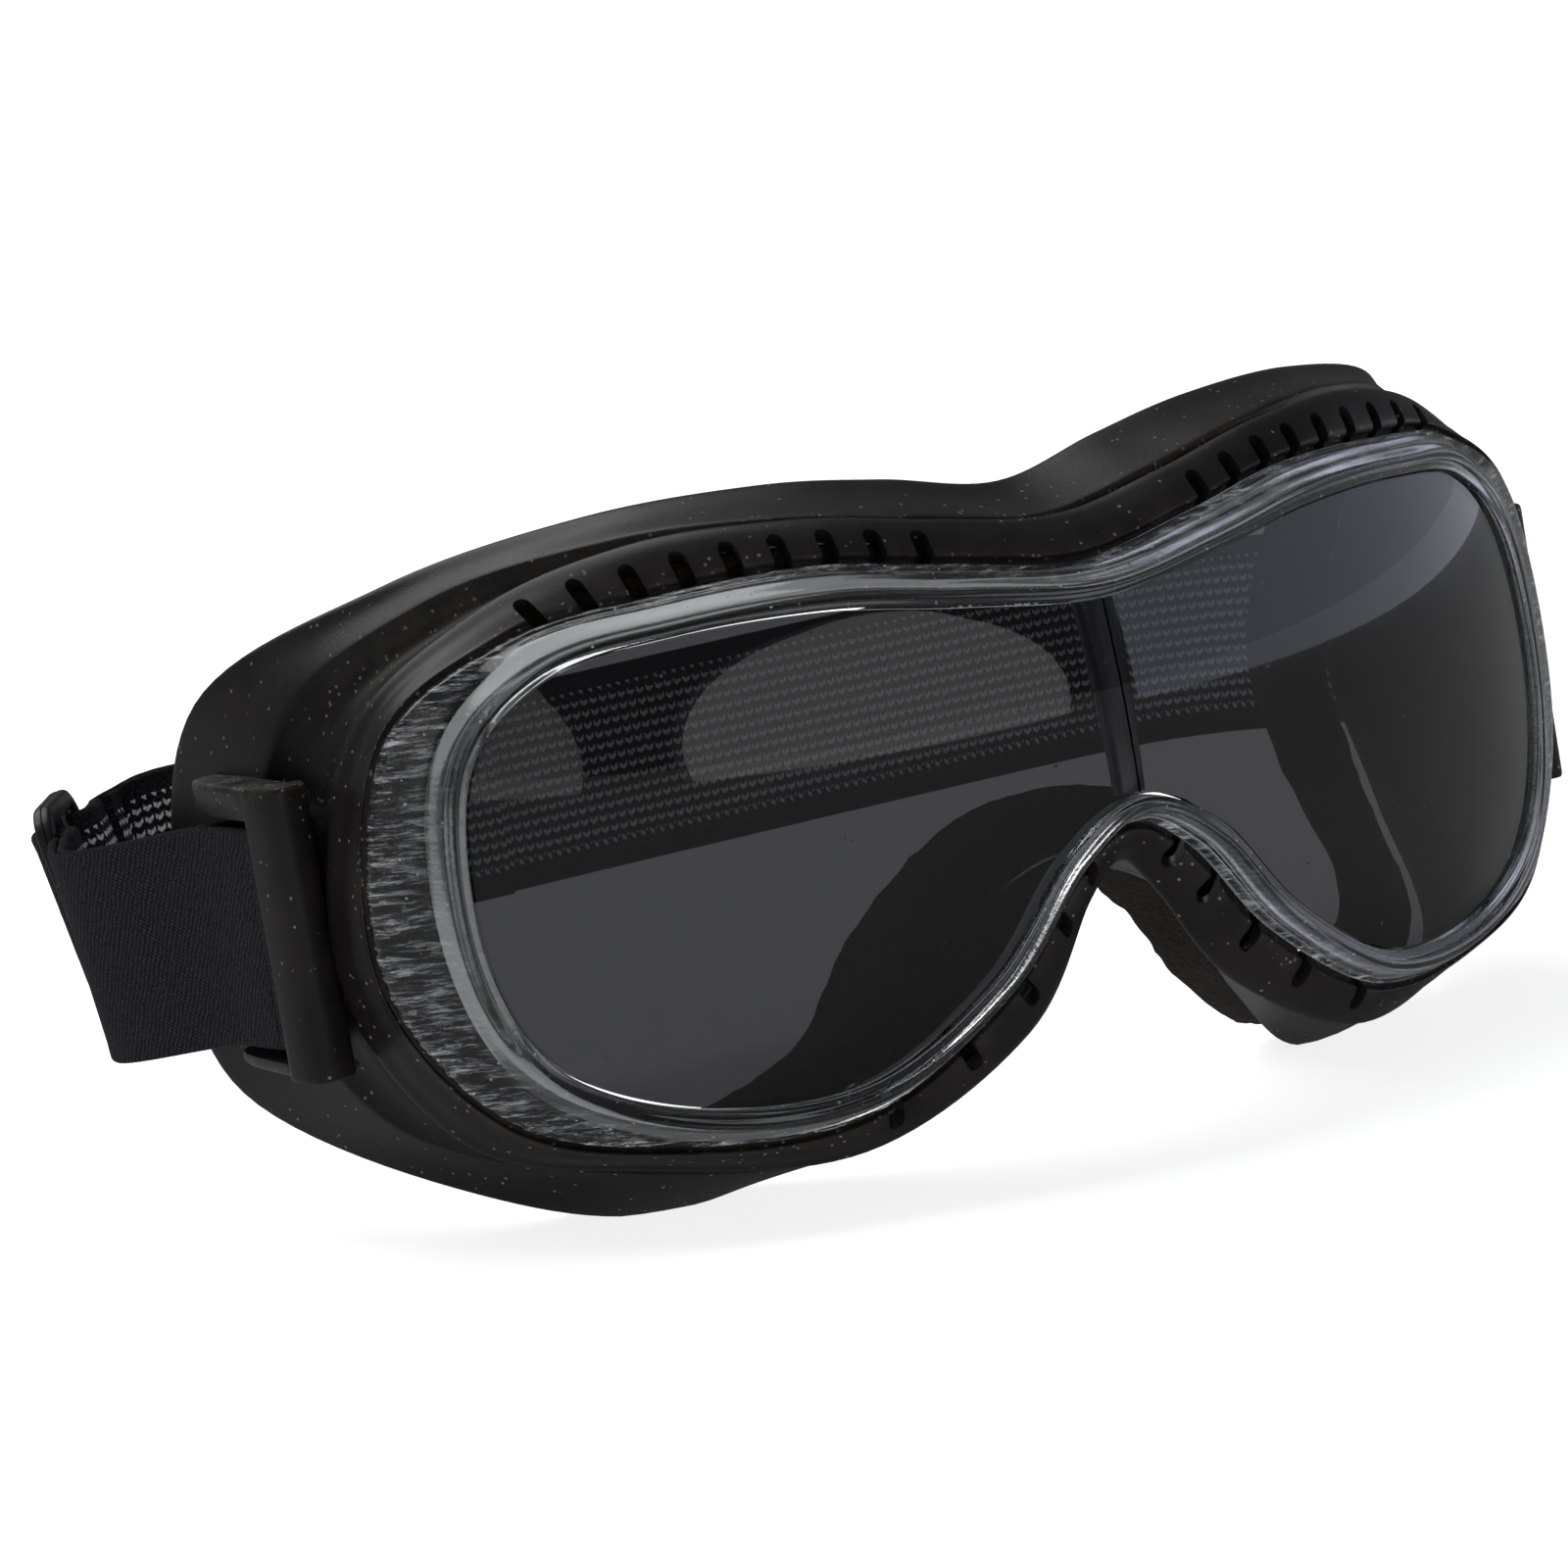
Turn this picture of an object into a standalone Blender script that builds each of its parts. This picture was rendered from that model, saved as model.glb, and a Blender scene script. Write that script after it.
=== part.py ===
"""Fit-over motorcycle goggles: a soft moulded frame, a clear lens carrier with two
smoke lenses, face foam, and an elastic strap with one slider.

X runs across the face (the wearer's right is -X), -Y is the front, +Z is up.
The lowest points of the two frame lobes stand on z = 0.  Dimensions are in
millimetres and are turned into metres when a mesh is made.
"""

import math

import bmesh
import bpy
import numpy as np

MM = 0.001
SIDES = (("right", -1.0), ("left", 1.0))
SQUARE = ((1.0, 0.0, 0.0), (0.0, 1.0, 0.0), (0.0, 0.0, 1.0))

# Where the lens centre sits in the part's frame.
LENS_CENTRE_Y = -73.4
LENS_CENTRE_Z = 49.5

# Lens: a cylinder about a vertical axis, bowed back a little at top and bottom.
LENS_RADIUS = 106.7
LENS_BOW = 0.004
LENS_THICKNESS = 2.0
LENS_GAP = 0.3
LENS_ROWS = 5
LENS_INNER_EDGE = 3.0
POST_SECTION = ((-1.0, 2.5), (1.0, 2.5), (1.0, 4.4), (-1.0, 4.4))
POST_FOOT_HALF = 2.0
POST_TOP_HALF = 2.7
POST_CLEAR = 0.4

# Half outline of the lens opening, top centre to nose: arc length from centre, height.
OPENING = (
    (0.0, 20.1), (17.4, 22.3), (33.6, 24.8), (51.8, 24.9), (69.0, 22.1), (81.0, 11.4),
    (83.0, -8.8), (75.7, -24.2), (58.3, -32.1), (37.9, -32.6), (21.7, -22.9), (10.7, -9.9),
    (0.0, -4.5),
)
# At the same stations: how far outside the opening the clear carrier ends and the
# frame's crest stands, and how far behind the lens cylinder each lies.
CARRIER_WIDTH = (4.4, 4.9, 5.2, 4.8, 5.4, 11.0, 13.6, 8.8, 5.0, 4.4, 4.0, 3.8, 3.4)
CARRIER_SETBACK = (3.2, 3.2, 3.3, 3.3, 3.2, 0.6, 0.2, 2.4, 3.6, 3.0, 3.0, 3.0, 3.0)
CREST_WIDTH = (9.8, 10.2, 10.7, 11.0, 9.2, 12.8, 17.0, 13.4, 8.8, 10.0, 11.2, 9.6, 8.6)
CREST_SETBACK = (8.8, 8.4, 8.2, 8.1, 8.4, 8.2, 7.6, 10.0, 12.0, 9.0, 8.0, 8.6, 8.2)

# Half outline of the frame's back edge, where the skirt ends near the face.
SKIRT_EDGE = (
    (0.0, 24.4, 34.2), (15.0, 25.6, 37.3), (30.0, 29.0, 39.4), (50.0, 37.4, 39.2),
    (71.0, 53.0, 34.4), (86.4, 84.0, 21.5), (87.0, 102.0, -6.0), (86.0, 93.0, -30.0),
    (68.0, 58.0, -44.7), (44.5, 51.0, -50.2), (26.0, 34.0, -37.0), (16.0, 28.0, -22.0),
    (0.0, 24.0, -15.2),
)

SAMPLES_PER_STATION = 3
WALL = 2.2
GROOVE_RUN = 4.0
GROOVE_DEPTH = 2.2

# Vent slots in the front wall.
VENTS_TOP = 9
VENT_TOP_FROM = 19.0
VENT_TOP_TO = 63.0
VENTS_NOSE = 5
VENT_NOSE_FROM = 9.15
VENT_NOSE_TO = 11.15
VENT_WIDTH = 1.5
VENT_TOP_HEIGHT = 4.4
VENT_NOSE_HEIGHT = 3.4
VENT_DEPTH = 7.0

# Face foam, glued inside the skirt.
FOAM_INSIDE = 1.2
FOAM_RADIAL = 7.0
FOAM_SEAT = 5.0
FOAM_DEPTH = (8.0, 8.0, 8.0, 8.0, 8.0, 7.0, 6.5, 7.0, 9.0, 11.0, 14.0, 15.0, 15.0)
FILM_THICKNESS = 0.3
FILM_GAP = 0.25
FILM_AHEAD = 2.5
FILM_BEHIND = 0.6
FILM_FROM = 9.4

# Filter foam behind the vents: row, first and last station, share of the wall from
# low to high, gap to the wall, distance behind it.
VENT_FOAMS = (
    ("top", 1.0, 4.6, 0.1, 0.8, 1.2, 1.4),
    ("nose", 9.5, 11.0, 0.5, 0.9, 1.6, 6.0),
)
VENT_FOAM_THICKNESS = 1.8

# Strap and its hardware.
STRAP_WIDTH = 28.0
STRAP_THICKNESS = 1.0
STRAP_Z = -6.5
PIN_RADIUS = 0.9
LOOP_GAP = 0.15
PIN_X = 88.4
PIN_Y = 59.0
PIN_SPARE = 0.5
PIN_FACETS = 12
OUTRIGGER_SECTION = (
    (86.3, 50.5), (88.5, 50.2), (91.6, 54.0), (92.3, 58.0), (92.4, 61.5), (91.8, 62.6), (86.3, 62.6),
)
OUTRIGGER_FOOT = -23.8
OUTRIGGER_TOP = 12.9
POCKET_WIDTH = 4.7
POCKET_DEPTH = 9.6
POCKET_BACK = 2.0
POCKET_SPARE = 0.8
BAND_Y = 147.0
BAND_Z = -7.2
TAIL_OFFSET = 2.0
STITCH_OFFSET = 0.95
TAIL_END_X = -20.0
FAR_RUN_ROUTE = ((93.2, 84.0, -6.6), (100.7, 111.0, -7.0))
HEM_ROUTE = ((88.9, 75.0, -6.5), (91.6, 84.0, -6.6))
SLIDER_CENTRE = (-88.3, 130.2, -9.4)
SLIDER_ALONG = (0.491, 0.870, 0.028)
SLIDER_DOWN = (0.172, -0.064, -0.983)
SLIDER_LENGTH = 35.0
SLIDER_WIDTH = 21.0
SLIDER_THICKNESS = 2.6
SLIDER_BAR = 3.0
SLIDER_CORNER = 5.0
SLIDER_SLOT_LENGTH = 29.6


# ---------------------------------------------------------------- curves

def closed_outline(half):
    """Mirror a half outline about X = 0 and close it, clockwise seen from the front."""
    half = np.array(half, float)
    mirrored = half[-2:0:-1] * ([-1.0] + [1.0] * (half.shape[1] - 1))
    return np.vstack([half, mirrored])


def smooth_loop(points):
    """Points of a closed Catmull-Rom curve through the stations."""
    before = np.roll(points, 1, axis=0)
    after = np.roll(points, -1, axis=0)
    beyond = np.roll(points, -2, axis=0)
    loop = []
    for i in range(len(points)):
        for step in range(SAMPLES_PER_STATION):
            s = step / SAMPLES_PER_STATION
            loop.append(0.5 * (2.0 * points[i] + (after[i] - before[i]) * s
                               + (2.0 * before[i] - 5.0 * points[i] + 4.0 * after[i] - beyond[i]) * s * s
                               + (3.0 * points[i] - before[i] - 3.0 * after[i] + beyond[i]) * s ** 3))
    return np.array(loop)


def mirrored_values(half):
    return np.array(list(half) + list(half[-2:0:-1]), float)


def outline_offset(distance):
    """The lens opening's stations moved outwards by a distance, or one per station."""
    stations = closed_outline(OPENING)
    tangent = np.roll(stations, -1, axis=0) - np.roll(stations, 1, axis=0)
    tangent /= np.linalg.norm(tangent, axis=1)[:, None]
    outward = np.stack([-tangent[:, 1], tangent[:, 0]], axis=1)
    if np.ndim(distance):
        distance = mirrored_values(distance)[:, None]
    return stations + outward * distance


def on_lens(flat, setback, bow_height):
    """Wrap arc length and height onto the lens surface, moved back by a setback."""
    angle = flat[:, 0] / LENS_RADIUS
    x = LENS_RADIUS * np.sin(angle)
    y = LENS_RADIUS * (1.0 - np.cos(angle)) + LENS_BOW * bow_height ** 2 + setback
    return np.stack([x, y, flat[:, 1]], axis=1)


def ring_at(distance, setback):
    """A closed loop outside the lens opening, smoothed and wrapped onto the lens surface."""
    flat = smooth_loop(outline_offset(distance))
    rim = smooth_loop(closed_outline(OPENING))
    if np.ndim(setback):
        setback = smooth_loop(mirrored_values(setback)[:, None])[:, 0]
    return on_lens(flat, setback, rim[:, 1])


def skirt_edge():
    return smooth_loop(closed_outline(SKIRT_EDGE))


def unit(vectors):
    return vectors / np.linalg.norm(vectors, axis=-1, keepdims=True)


# ---------------------------------------------------------------- meshes

def material(name, colour, roughness, metallic=0.0, alpha=1.0):
    found = bpy.data.materials.get(name) or bpy.data.materials.new(name)
    found.use_nodes = True
    shader = found.node_tree.nodes["Principled BSDF"]
    shader.inputs["Base Color"].default_value = (*colour, 1.0)
    shader.inputs["Roughness"].default_value = roughness
    shader.inputs["Metallic"].default_value = metallic
    shader.inputs["Alpha"].default_value = alpha
    return found


def to_frame(points):
    """Millimetres about the lens centre to metres in the part's frame."""
    return (np.asarray(points, float) + (0.0, LENS_CENTRE_Y, LENS_CENTRE_Z)) * MM


def add_object(name, points, faces, look, sharp=35.0):
    mesh = bpy.data.meshes.new(name)
    mesh.from_pydata([tuple(p) for p in to_frame(points)], [], faces)
    shape = bmesh.new()
    shape.from_mesh(mesh)
    bmesh.ops.recalc_face_normals(shape, faces=shape.faces)
    shape.to_mesh(mesh)
    shape.free()
    mesh.materials.append(look)
    mesh.shade_smooth()
    mesh.set_sharp_from_angle(angle=math.radians(sharp))
    thing = bpy.data.objects.new(name, mesh)
    bpy.context.collection.objects.link(thing)
    return thing


def lattice_faces(rows, columns, rows_closed, columns_closed):
    faces = []
    for r in range(rows if rows_closed else rows - 1):
        for c in range(columns if columns_closed else columns - 1):
            r2 = (r + 1) % rows
            c2 = (c + 1) % columns
            faces.append((r * columns + c, r * columns + c2, r2 * columns + c2, r2 * columns + c))
    return faces


def ring_solid(name, rows, look):
    """A solid ring: each row is a closed loop, and the rows close round the section."""
    rows = [np.asarray(row) for row in rows]
    return add_object(name, np.vstack(rows), lattice_faces(len(rows), len(rows[0]), True, True), look)


def strip_solid(name, rows, look):
    """A solid strip: each row is an open line, and the rows close round the section."""
    rows = [np.asarray(row) for row in rows]
    count = len(rows[0])
    faces = lattice_faces(len(rows), count, True, False)
    faces.append(tuple(r * count for r in range(len(rows))))
    faces.append(tuple(r * count + count - 1 for r in reversed(range(len(rows)))))
    return add_object(name, np.vstack(rows), faces, look)


def box_at(name, centre, axes, size, look):
    """A box from its centre, three unit axes and three full sizes."""
    axes = [np.array(a, float) for a in axes]
    corners = []
    for i, j, k in ((-1, -1, -1), (1, -1, -1), (1, 1, -1), (-1, 1, -1),
                    (-1, -1, 1), (1, -1, 1), (1, 1, 1), (-1, 1, 1)):
        offset = i * axes[0] * size[0] + j * axes[1] * size[1] + k * axes[2] * size[2]
        corners.append(np.array(centre, float) + offset / 2.0)
    faces = [(0, 3, 2, 1), (4, 5, 6, 7), (0, 1, 5, 4), (1, 2, 6, 5), (2, 3, 7, 6), (3, 0, 4, 7)]
    return add_object(name, corners, faces, look)


def join_as_cutter(name, parts):
    """Join loose boxes into one hidden cutter."""
    shape = bmesh.new()
    for part in parts:
        shape.from_mesh(part.data)
        bpy.data.objects.remove(part)
    mesh = bpy.data.meshes.new(name)
    shape.to_mesh(mesh)
    shape.free()
    cutter = bpy.data.objects.new(name, mesh)
    bpy.context.collection.objects.link(cutter)
    cutter.hide_render = True
    cutter.display_type = "WIRE"
    return cutter


def cut(target, cutter):
    boolean = target.modifiers.new("cut", "BOOLEAN")
    boolean.operation = "DIFFERENCE"
    boolean.solver = "EXACT"
    boolean.object = cutter


def at_station(loop, station):
    """A point on a smoothed loop at a station number that need not be whole."""
    place = station * SAMPLES_PER_STATION % len(loop)
    low = int(place)
    share = place - low
    return loop[low] * (1.0 - share) + loop[(low + 1) % len(loop)] * share


def eased(directions):
    """Directions round a loop, averaged with their neighbours so that they turn gently."""
    for _ in range(4):
        directions = directions + 0.5 * (np.roll(directions, 1, axis=0) + np.roll(directions, -1, axis=0))
        directions = unit(directions)
    return directions


# ---------------------------------------------------------------- frame

def inward_normals(row, along):
    """Unit vectors from a frame row towards the inside, across the loop and the section."""
    tangent = np.roll(row, -1, axis=0) - np.roll(row, 1, axis=0)
    return -unit(np.cross(tangent, along))


def shell_rows():
    """The frame's outer rows, front to back, and its inner rows, back to front."""
    carrier_setback = np.array(CARRIER_SETBACK)
    crest_setback = np.array(CREST_SETBACK)
    carrier = np.array(CARRIER_WIDTH)
    crest = np.array(CREST_WIDTH)
    seat_in = ring_at(1.6, 4.6)
    seat_out = ring_at(carrier + 0.4, carrier_setback + 2.1)
    foot = ring_at(carrier + 0.8, carrier_setback + 0.6)
    wall = ring_at(0.45 * carrier + 0.55 * crest, 0.5 * carrier_setback + 0.5 * crest_setback - 0.6)
    crest_front = ring_at(crest - 0.7, crest_setback - 1.1)
    crest_back = ring_at(crest, crest_setback + 0.7)
    edge = skirt_edge()
    back = unit(edge - crest_back)
    behind_crest = crest_back + back * 1.6
    inward = inward_normals(crest_back, back)
    groove = crest_back + back * GROOVE_RUN + inward * GROOVE_DEPTH
    ledge = groove + (edge - groove) * 0.22 + inward * 0.3
    flare = groove + (edge - groove) * 0.62 + inward * 0.6
    outer = [seat_in, seat_out, foot, wall, crest_front, crest_back, behind_crest, groove, ledge,
             flare, edge]
    inner = [edge + inward * WALL, flare + inward * WALL, ledge + inward * WALL, groove + inward * WALL,
             crest_front + inward * (WALL + 0.6) + back * 0.8,
             wall + inward * (WALL - 0.2) + back * 1.0,
             seat_in + (0.0, 2.0, 0.0)]
    return outer, inner


def vent_stations(loop, first, last, count, by_x):
    """Station numbers of evenly spaced vents, from X positions or from station limits."""
    places = [first + (last - first) * i / (count - 1) for i in range(count)]
    if not by_x:
        return places
    stations = np.linspace(0.0, 6.0, 241)
    across = [at_station(loop, s)[0] for s in stations]
    return [float(np.interp(x, across, stations)) for x in places]


def vent_cutters(outer):
    """Boxes that open the front wall at each vent, on both sides of the nose."""
    seat, foot, wall, crest = outer[1], outer[2], outer[3], outer[4]
    top = vent_stations(wall, VENT_TOP_FROM, VENT_TOP_TO, VENTS_TOP, True)
    nose = vent_stations(wall, VENT_NOSE_FROM, VENT_NOSE_TO, VENTS_NOSE, False)
    total = len(closed_outline(OPENING))
    blank = material("cutter", (0.5, 0.5, 0.5), 0.5)
    boxes = []
    slots = [(s, VENT_TOP_HEIGHT) for s in top] + [(s, VENT_NOSE_HEIGHT) for s in nose]
    for station, height in slots:
        for place in (station, total - station):
            low = at_station(foot, place)
            up = unit(at_station(crest, place) - low)
            along = unit(at_station(wall, place + 0.05) - at_station(wall, place - 0.05))
            through = unit(np.cross(along, up))
            middle = low + up * (height / 2.0 - 0.5)
            boxes.append(box_at("vent", middle, (along, up, through), (VENT_WIDTH, height, VENT_DEPTH), blank))
    return join_as_cutter("vent_cutter", boxes)


def make_frame():
    black = material("frame", (0.018, 0.018, 0.018), 0.55)
    outer, inner = shell_rows()
    shell = ring_solid("frame_shell", outer + inner, black)
    cut(shell, vent_cutters(outer))
    floor = box_at("floor", (0.0, 30.0, -LENS_CENTRE_Z - 5.0), SQUARE, (200.0, 100.0, 10.0), black)
    cut(shell, join_as_cutter("floor_cutter", [floor]))
    return outer


def make_vent_foams(outer):
    """Filter foam strips glued behind each row of vents."""
    look = material("vent_foam", (0.05, 0.045, 0.04), 0.95)
    wall, crest = outer[3], outer[4]
    back = unit(skirt_edge() - outer[5])
    inward = inward_normals(outer[5], back)
    total = len(closed_outline(OPENING))
    for row, first, last, low, high, gap, behind in VENT_FOAMS:
        for side, sign in SIDES:
            places = np.linspace(first, last, 13)
            if sign < 0.0:
                places = total - places
            lines = []
            near = WALL + gap
            far = near + VENT_FOAM_THICKNESS
            for depth, reach in ((near, low), (near, high), (far, high), (far, low)):
                line = []
                for place in places:
                    base = at_station(wall, place) * (1.0 - reach) + at_station(crest, place) * reach
                    shift = at_station(inward, place) * depth + at_station(back, place) * behind
                    line.append(base + shift)
                lines.append(line)
            strip_solid(f"vent_foam_{row}_{side}", lines, look)


# ---------------------------------------------------------------- lens unit

def make_carrier():
    """The clear carrier: a raised ridge round the lenses and a flat flange outside it."""
    clear = material("clear", (0.86, 0.88, 0.9), 0.08, alpha=0.35)
    width = np.array(CARRIER_WIDTH)
    setback = np.array(CARRIER_SETBACK)
    ridge = np.minimum(width, 6.0)
    rows = [ring_at(0.0, -0.6), ring_at(ridge * 0.22, -1.7), ring_at(ridge * 0.5, -1.7),
            ring_at(ridge * 0.72, 0.6), ring_at(width - 0.5, setback - 0.4),
            ring_at(width, setback + 0.2), ring_at(width, setback + 1.3),
            ring_at(ridge * 0.6, 4.1), ring_at(0.0, 4.1)]
    ring_solid("lens_carrier", rows, clear)


def make_lenses():
    """Two smoke lenses, one each side of the centre post, inside the carrier."""
    smoke = material("smoke", (0.05, 0.052, 0.056), 0.04, alpha=0.5)
    rim = smooth_loop(outline_offset(-LENS_GAP))
    half = len(rim) // 2
    for side, sign in SIDES:
        columns = []
        for i in range(half // 2):
            ends = [rim[i].copy(), rim[half - i].copy()]
            for end in ends:
                end[0] = max(end[0], LENS_INNER_EDGE)
            columns.append([ends[0] * (1.0 - s) + ends[1] * s for s in np.linspace(0.0, 1.0, LENS_ROWS)])
        tip = rim[half // 2]
        flat = np.array([p for column in columns for p in column] + [tip])
        flat = flat * (sign, 1.0)
        front = on_lens(flat, 0.0, flat[:, 1])
        rear = on_lens(flat, LENS_THICKNESS, flat[:, 1])
        count = len(flat)
        last = LENS_ROWS - 1
        sheet = lattice_faces(len(columns), LENS_ROWS, False, False)
        sheet += [(count - LENS_ROWS - 1 + r, count - LENS_ROWS + r, count - 1) for r in range(last)]
        faces = list(sheet)
        faces += [tuple(reversed([v + count for v in face])) for face in sheet]
        border = [LENS_ROWS * c for c in range(len(columns))] + [count - 1]
        border += [LENS_ROWS * c + last for c in reversed(range(len(columns)))]
        border += list(reversed(range(1, last)))
        for i, v in enumerate(border):
            w = border[(i + 1) % len(border)]
            faces.append((v, w, w + count, v + count))
        add_object(f"lens_{side}", np.vstack([front, rear]), faces, smoke)


def make_centre_post():
    clear = material("clear", (0.86, 0.88, 0.9), 0.08, alpha=0.35)
    top = OPENING[0][1] - POST_CLEAR
    foot = OPENING[-1][1] + POST_CLEAR
    heights = np.linspace(foot, top, 7)
    halves = np.linspace(POST_FOOT_HALF, POST_TOP_HALF, 7)
    lines = []
    for x, y in POST_SECTION:
        lines.append([(x * half, y + LENS_BOW * z ** 2, z) for half, z in zip(halves, heights)])
    strip_solid("centre_post", lines, clear)


# ---------------------------------------------------------------- face foam

def make_face_foam():
    """Foam ring inside the skirt, and the film that backs it round the nose."""
    foam = material("foam", (0.04, 0.033, 0.03), 1.0)
    film = material("film", (0.62, 0.62, 0.6), 0.5)
    edge_inner, flare_inner = shell_rows()[1][:2]
    back = unit(edge_inner - flare_inner)
    inward = eased(inward_normals(edge_inner, back))
    rearward = eased(unit(0.4 * back + (0.0, 1.0, 0.0)))
    depth = smooth_loop(mirrored_values(FOAM_DEPTH)[:, None])
    front_outer = edge_inner - back * FOAM_SEAT + inward * FOAM_INSIDE
    rear_outer = edge_inner + rearward * depth + inward * (FOAM_INSIDE + 0.4)
    rear_inner = rear_outer + inward * FOAM_RADIAL - rearward
    front_inner = front_outer + inward * FOAM_RADIAL
    ring_solid("face_foam", [front_outer, rear_outer, rear_inner, front_inner], foam)
    total = len(closed_outline(OPENING))
    places = np.linspace(FILM_FROM, total - FILM_FROM, 41)
    inside = FILM_GAP + FILM_THICKNESS
    lines = []
    for gap, reach in ((FILM_GAP, -FILM_AHEAD), (FILM_GAP, FILM_BEHIND),
                       (inside, FILM_BEHIND), (inside, -FILM_AHEAD)):
        lines.append([at_station(edge_inner + inward * gap + back * reach, place) for place in places])
    strip_solid("foam_film", lines, film)


# ---------------------------------------------------------------- strap

def ribbon(name, path, look, thickness=STRAP_THICKNESS, down=(0.0, 0.0, -1.0), width=STRAP_WIDTH):
    """A flat band along a path, with its width along one direction or one per point."""
    path = np.array(path, float)
    down = unit(np.broadcast_to(np.array(down, float), path.shape))
    along = unit(np.gradient(path, axis=0))
    face = unit(np.cross(along, down))
    lines = []
    for i, j in ((-1, -1), (1, -1), (1, 1), (-1, 1)):
        lines.append(path + down * (i * width / 2.0) + face * (j * thickness / 2.0))
    return strip_solid(name, lines, look)


def smooth_path(points, steps=6):
    """Points of an open Catmull-Rom curve through a few route points."""
    points = np.array(points, float)
    padded = np.vstack([2 * points[0] - points[1], points, 2 * points[-1] - points[-2]])
    path = []
    for i in range(1, len(padded) - 2):
        a, b, c, d = padded[i - 1:i + 3]
        for step in range(steps):
            s = step / steps
            path.append(0.5 * (2 * b + (c - a) * s + (2 * a - 5 * b + 4 * c - d) * s * s
                               + (3 * b - a - 3 * c + d) * s ** 3))
    path.append(points[-1])
    return np.array(path)


def slider_point(along, out, down=0.0):
    """A point in the slider's own directions: along the strap, outwards, down its bars."""
    d = unit(np.array(SLIDER_ALONG))
    t = unit(np.array(SLIDER_DOWN))
    n = unit(np.cross(d, t))
    return np.array(SLIDER_CENTRE) + d * along + n * out + t * down


def make_strap_loop(side, sign, look):
    """The strap's turn round the pin, inside the outrigger."""
    turn = PIN_RADIUS + LOOP_GAP + STRAP_THICKNESS / 2.0
    path = [(sign * (PIN_X + turn), PIN_Y + 4.0, STRAP_Z)]
    for i in range(9):
        angle = math.pi * i / 8.0
        path.append((sign * (PIN_X + turn * math.cos(angle)), PIN_Y - turn * math.sin(angle), STRAP_Z))
    path.append((sign * (PIN_X - turn), PIN_Y + 4.0, STRAP_Z))
    ribbon(f"strap_loop_{side}", path, look)


def make_near_strap(look):
    """The two layers from the right outrigger to the slider, and the weave through it."""
    turn = PIN_RADIUS + LOOP_GAP + STRAP_THICKNESS / 2.0
    down_end = np.array(SLIDER_DOWN)
    entry = slider_point(-13.6, -2.6)
    direction = unit(np.array(SLIDER_ALONG))
    out = unit(slider_point(0.0, 1.0) - slider_point(0.0, 0.0))
    for layer, sign, spread in (("outer", 1.0, 0.75), ("inner", -1.0, -0.75)):
        start = np.array((-(PIN_X + sign * turn), PIN_Y + 4.3, STRAP_Z))
        finish = entry + out * spread
        path = smooth_path([start, start + (-0.6 * sign - 1.6, 14.0, -0.4),
                            finish - direction * 12.0 - (0.0, 6.0, 0.0),
                            finish - direction * 5.0, finish], 7)
        share = np.linspace(0.0, 1.0, len(path))[:, None]
        share = share * share * (3.0 - 2.0 * share)
        down = (1.0 - share) * np.array((0.0, 0.0, -1.0)) + share * down_end
        ribbon(f"strap_run_{layer}", path, look, down=down)
    weave = []
    for i in range(19):
        s = -13.2 + 26.4 * i / 18.0
        lift = 0.5 + 0.5 * math.cos(math.pi * min(abs(s), 8.6) / 8.6)
        weave.append(slider_point(s, -2.9 + 6.0 * lift))
    ribbon("strap_weave", weave, look, thickness=2.0, down=down_end)


def make_band(look, stitch):
    """The band across the back, the free tail inside it, and the far side run."""
    direction = unit(np.array(SLIDER_ALONG))
    down_end = np.array(SLIDER_DOWN)
    rear = slider_point(13.6, -2.9)
    out = unit(slider_point(0.0, 1.0) - slider_point(0.0, 0.0))
    corner = np.array((-75.0, BAND_Y - 1.2, BAND_Z))
    band_start = rear + out * 0.55
    band = smooth_path([band_start, band_start + direction * 5.0, corner + (2.0, -0.6, 0.0),
                        (-60.0, BAND_Y, BAND_Z), (0.0, BAND_Y + 1.0, BAND_Z), (60.0, BAND_Y, BAND_Z),
                        (78.0, BAND_Y - 2.6, BAND_Z), (87.6, BAND_Y - 8.4, BAND_Z),
                        (94.0, BAND_Y - 18.0, BAND_Z)], 7)
    share = np.clip(np.linspace(0.0, 5.0, len(band)), 0.0, 1.0)[:, None]
    down = (1.0 - share) * down_end + share * np.array((0.0, 0.0, -1.0))
    ribbon("strap_band", band, look, down=down)
    facing = unit(np.cross(unit(np.gradient(band, axis=0)), down))
    tail = band - facing * TAIL_OFFSET
    length = int(np.argmax(tail[:, 0] > TAIL_END_X))
    ribbon("strap_tail", tail[:length], look, down=down[:length])
    turn = PIN_RADIUS + LOOP_GAP + STRAP_THICKNESS / 2.0
    start = np.array((PIN_X + turn, PIN_Y + 4.3, STRAP_Z))
    run = smooth_path([start, *FAR_RUN_ROUTE, (94.15, BAND_Y - 18.3, BAND_Z)], 7)
    ribbon("strap_run_left", run, look)
    hem = smooth_path([(PIN_X - turn, PIN_Y + 4.3, STRAP_Z), *HEM_ROUTE], 5)
    ribbon("strap_hem_left", hem, look)
    ribbon("strap_stitch_left", hem[4:8] - (STITCH_OFFSET, 0.0, 0.0), stitch, thickness=0.2, width=24.0)


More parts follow.
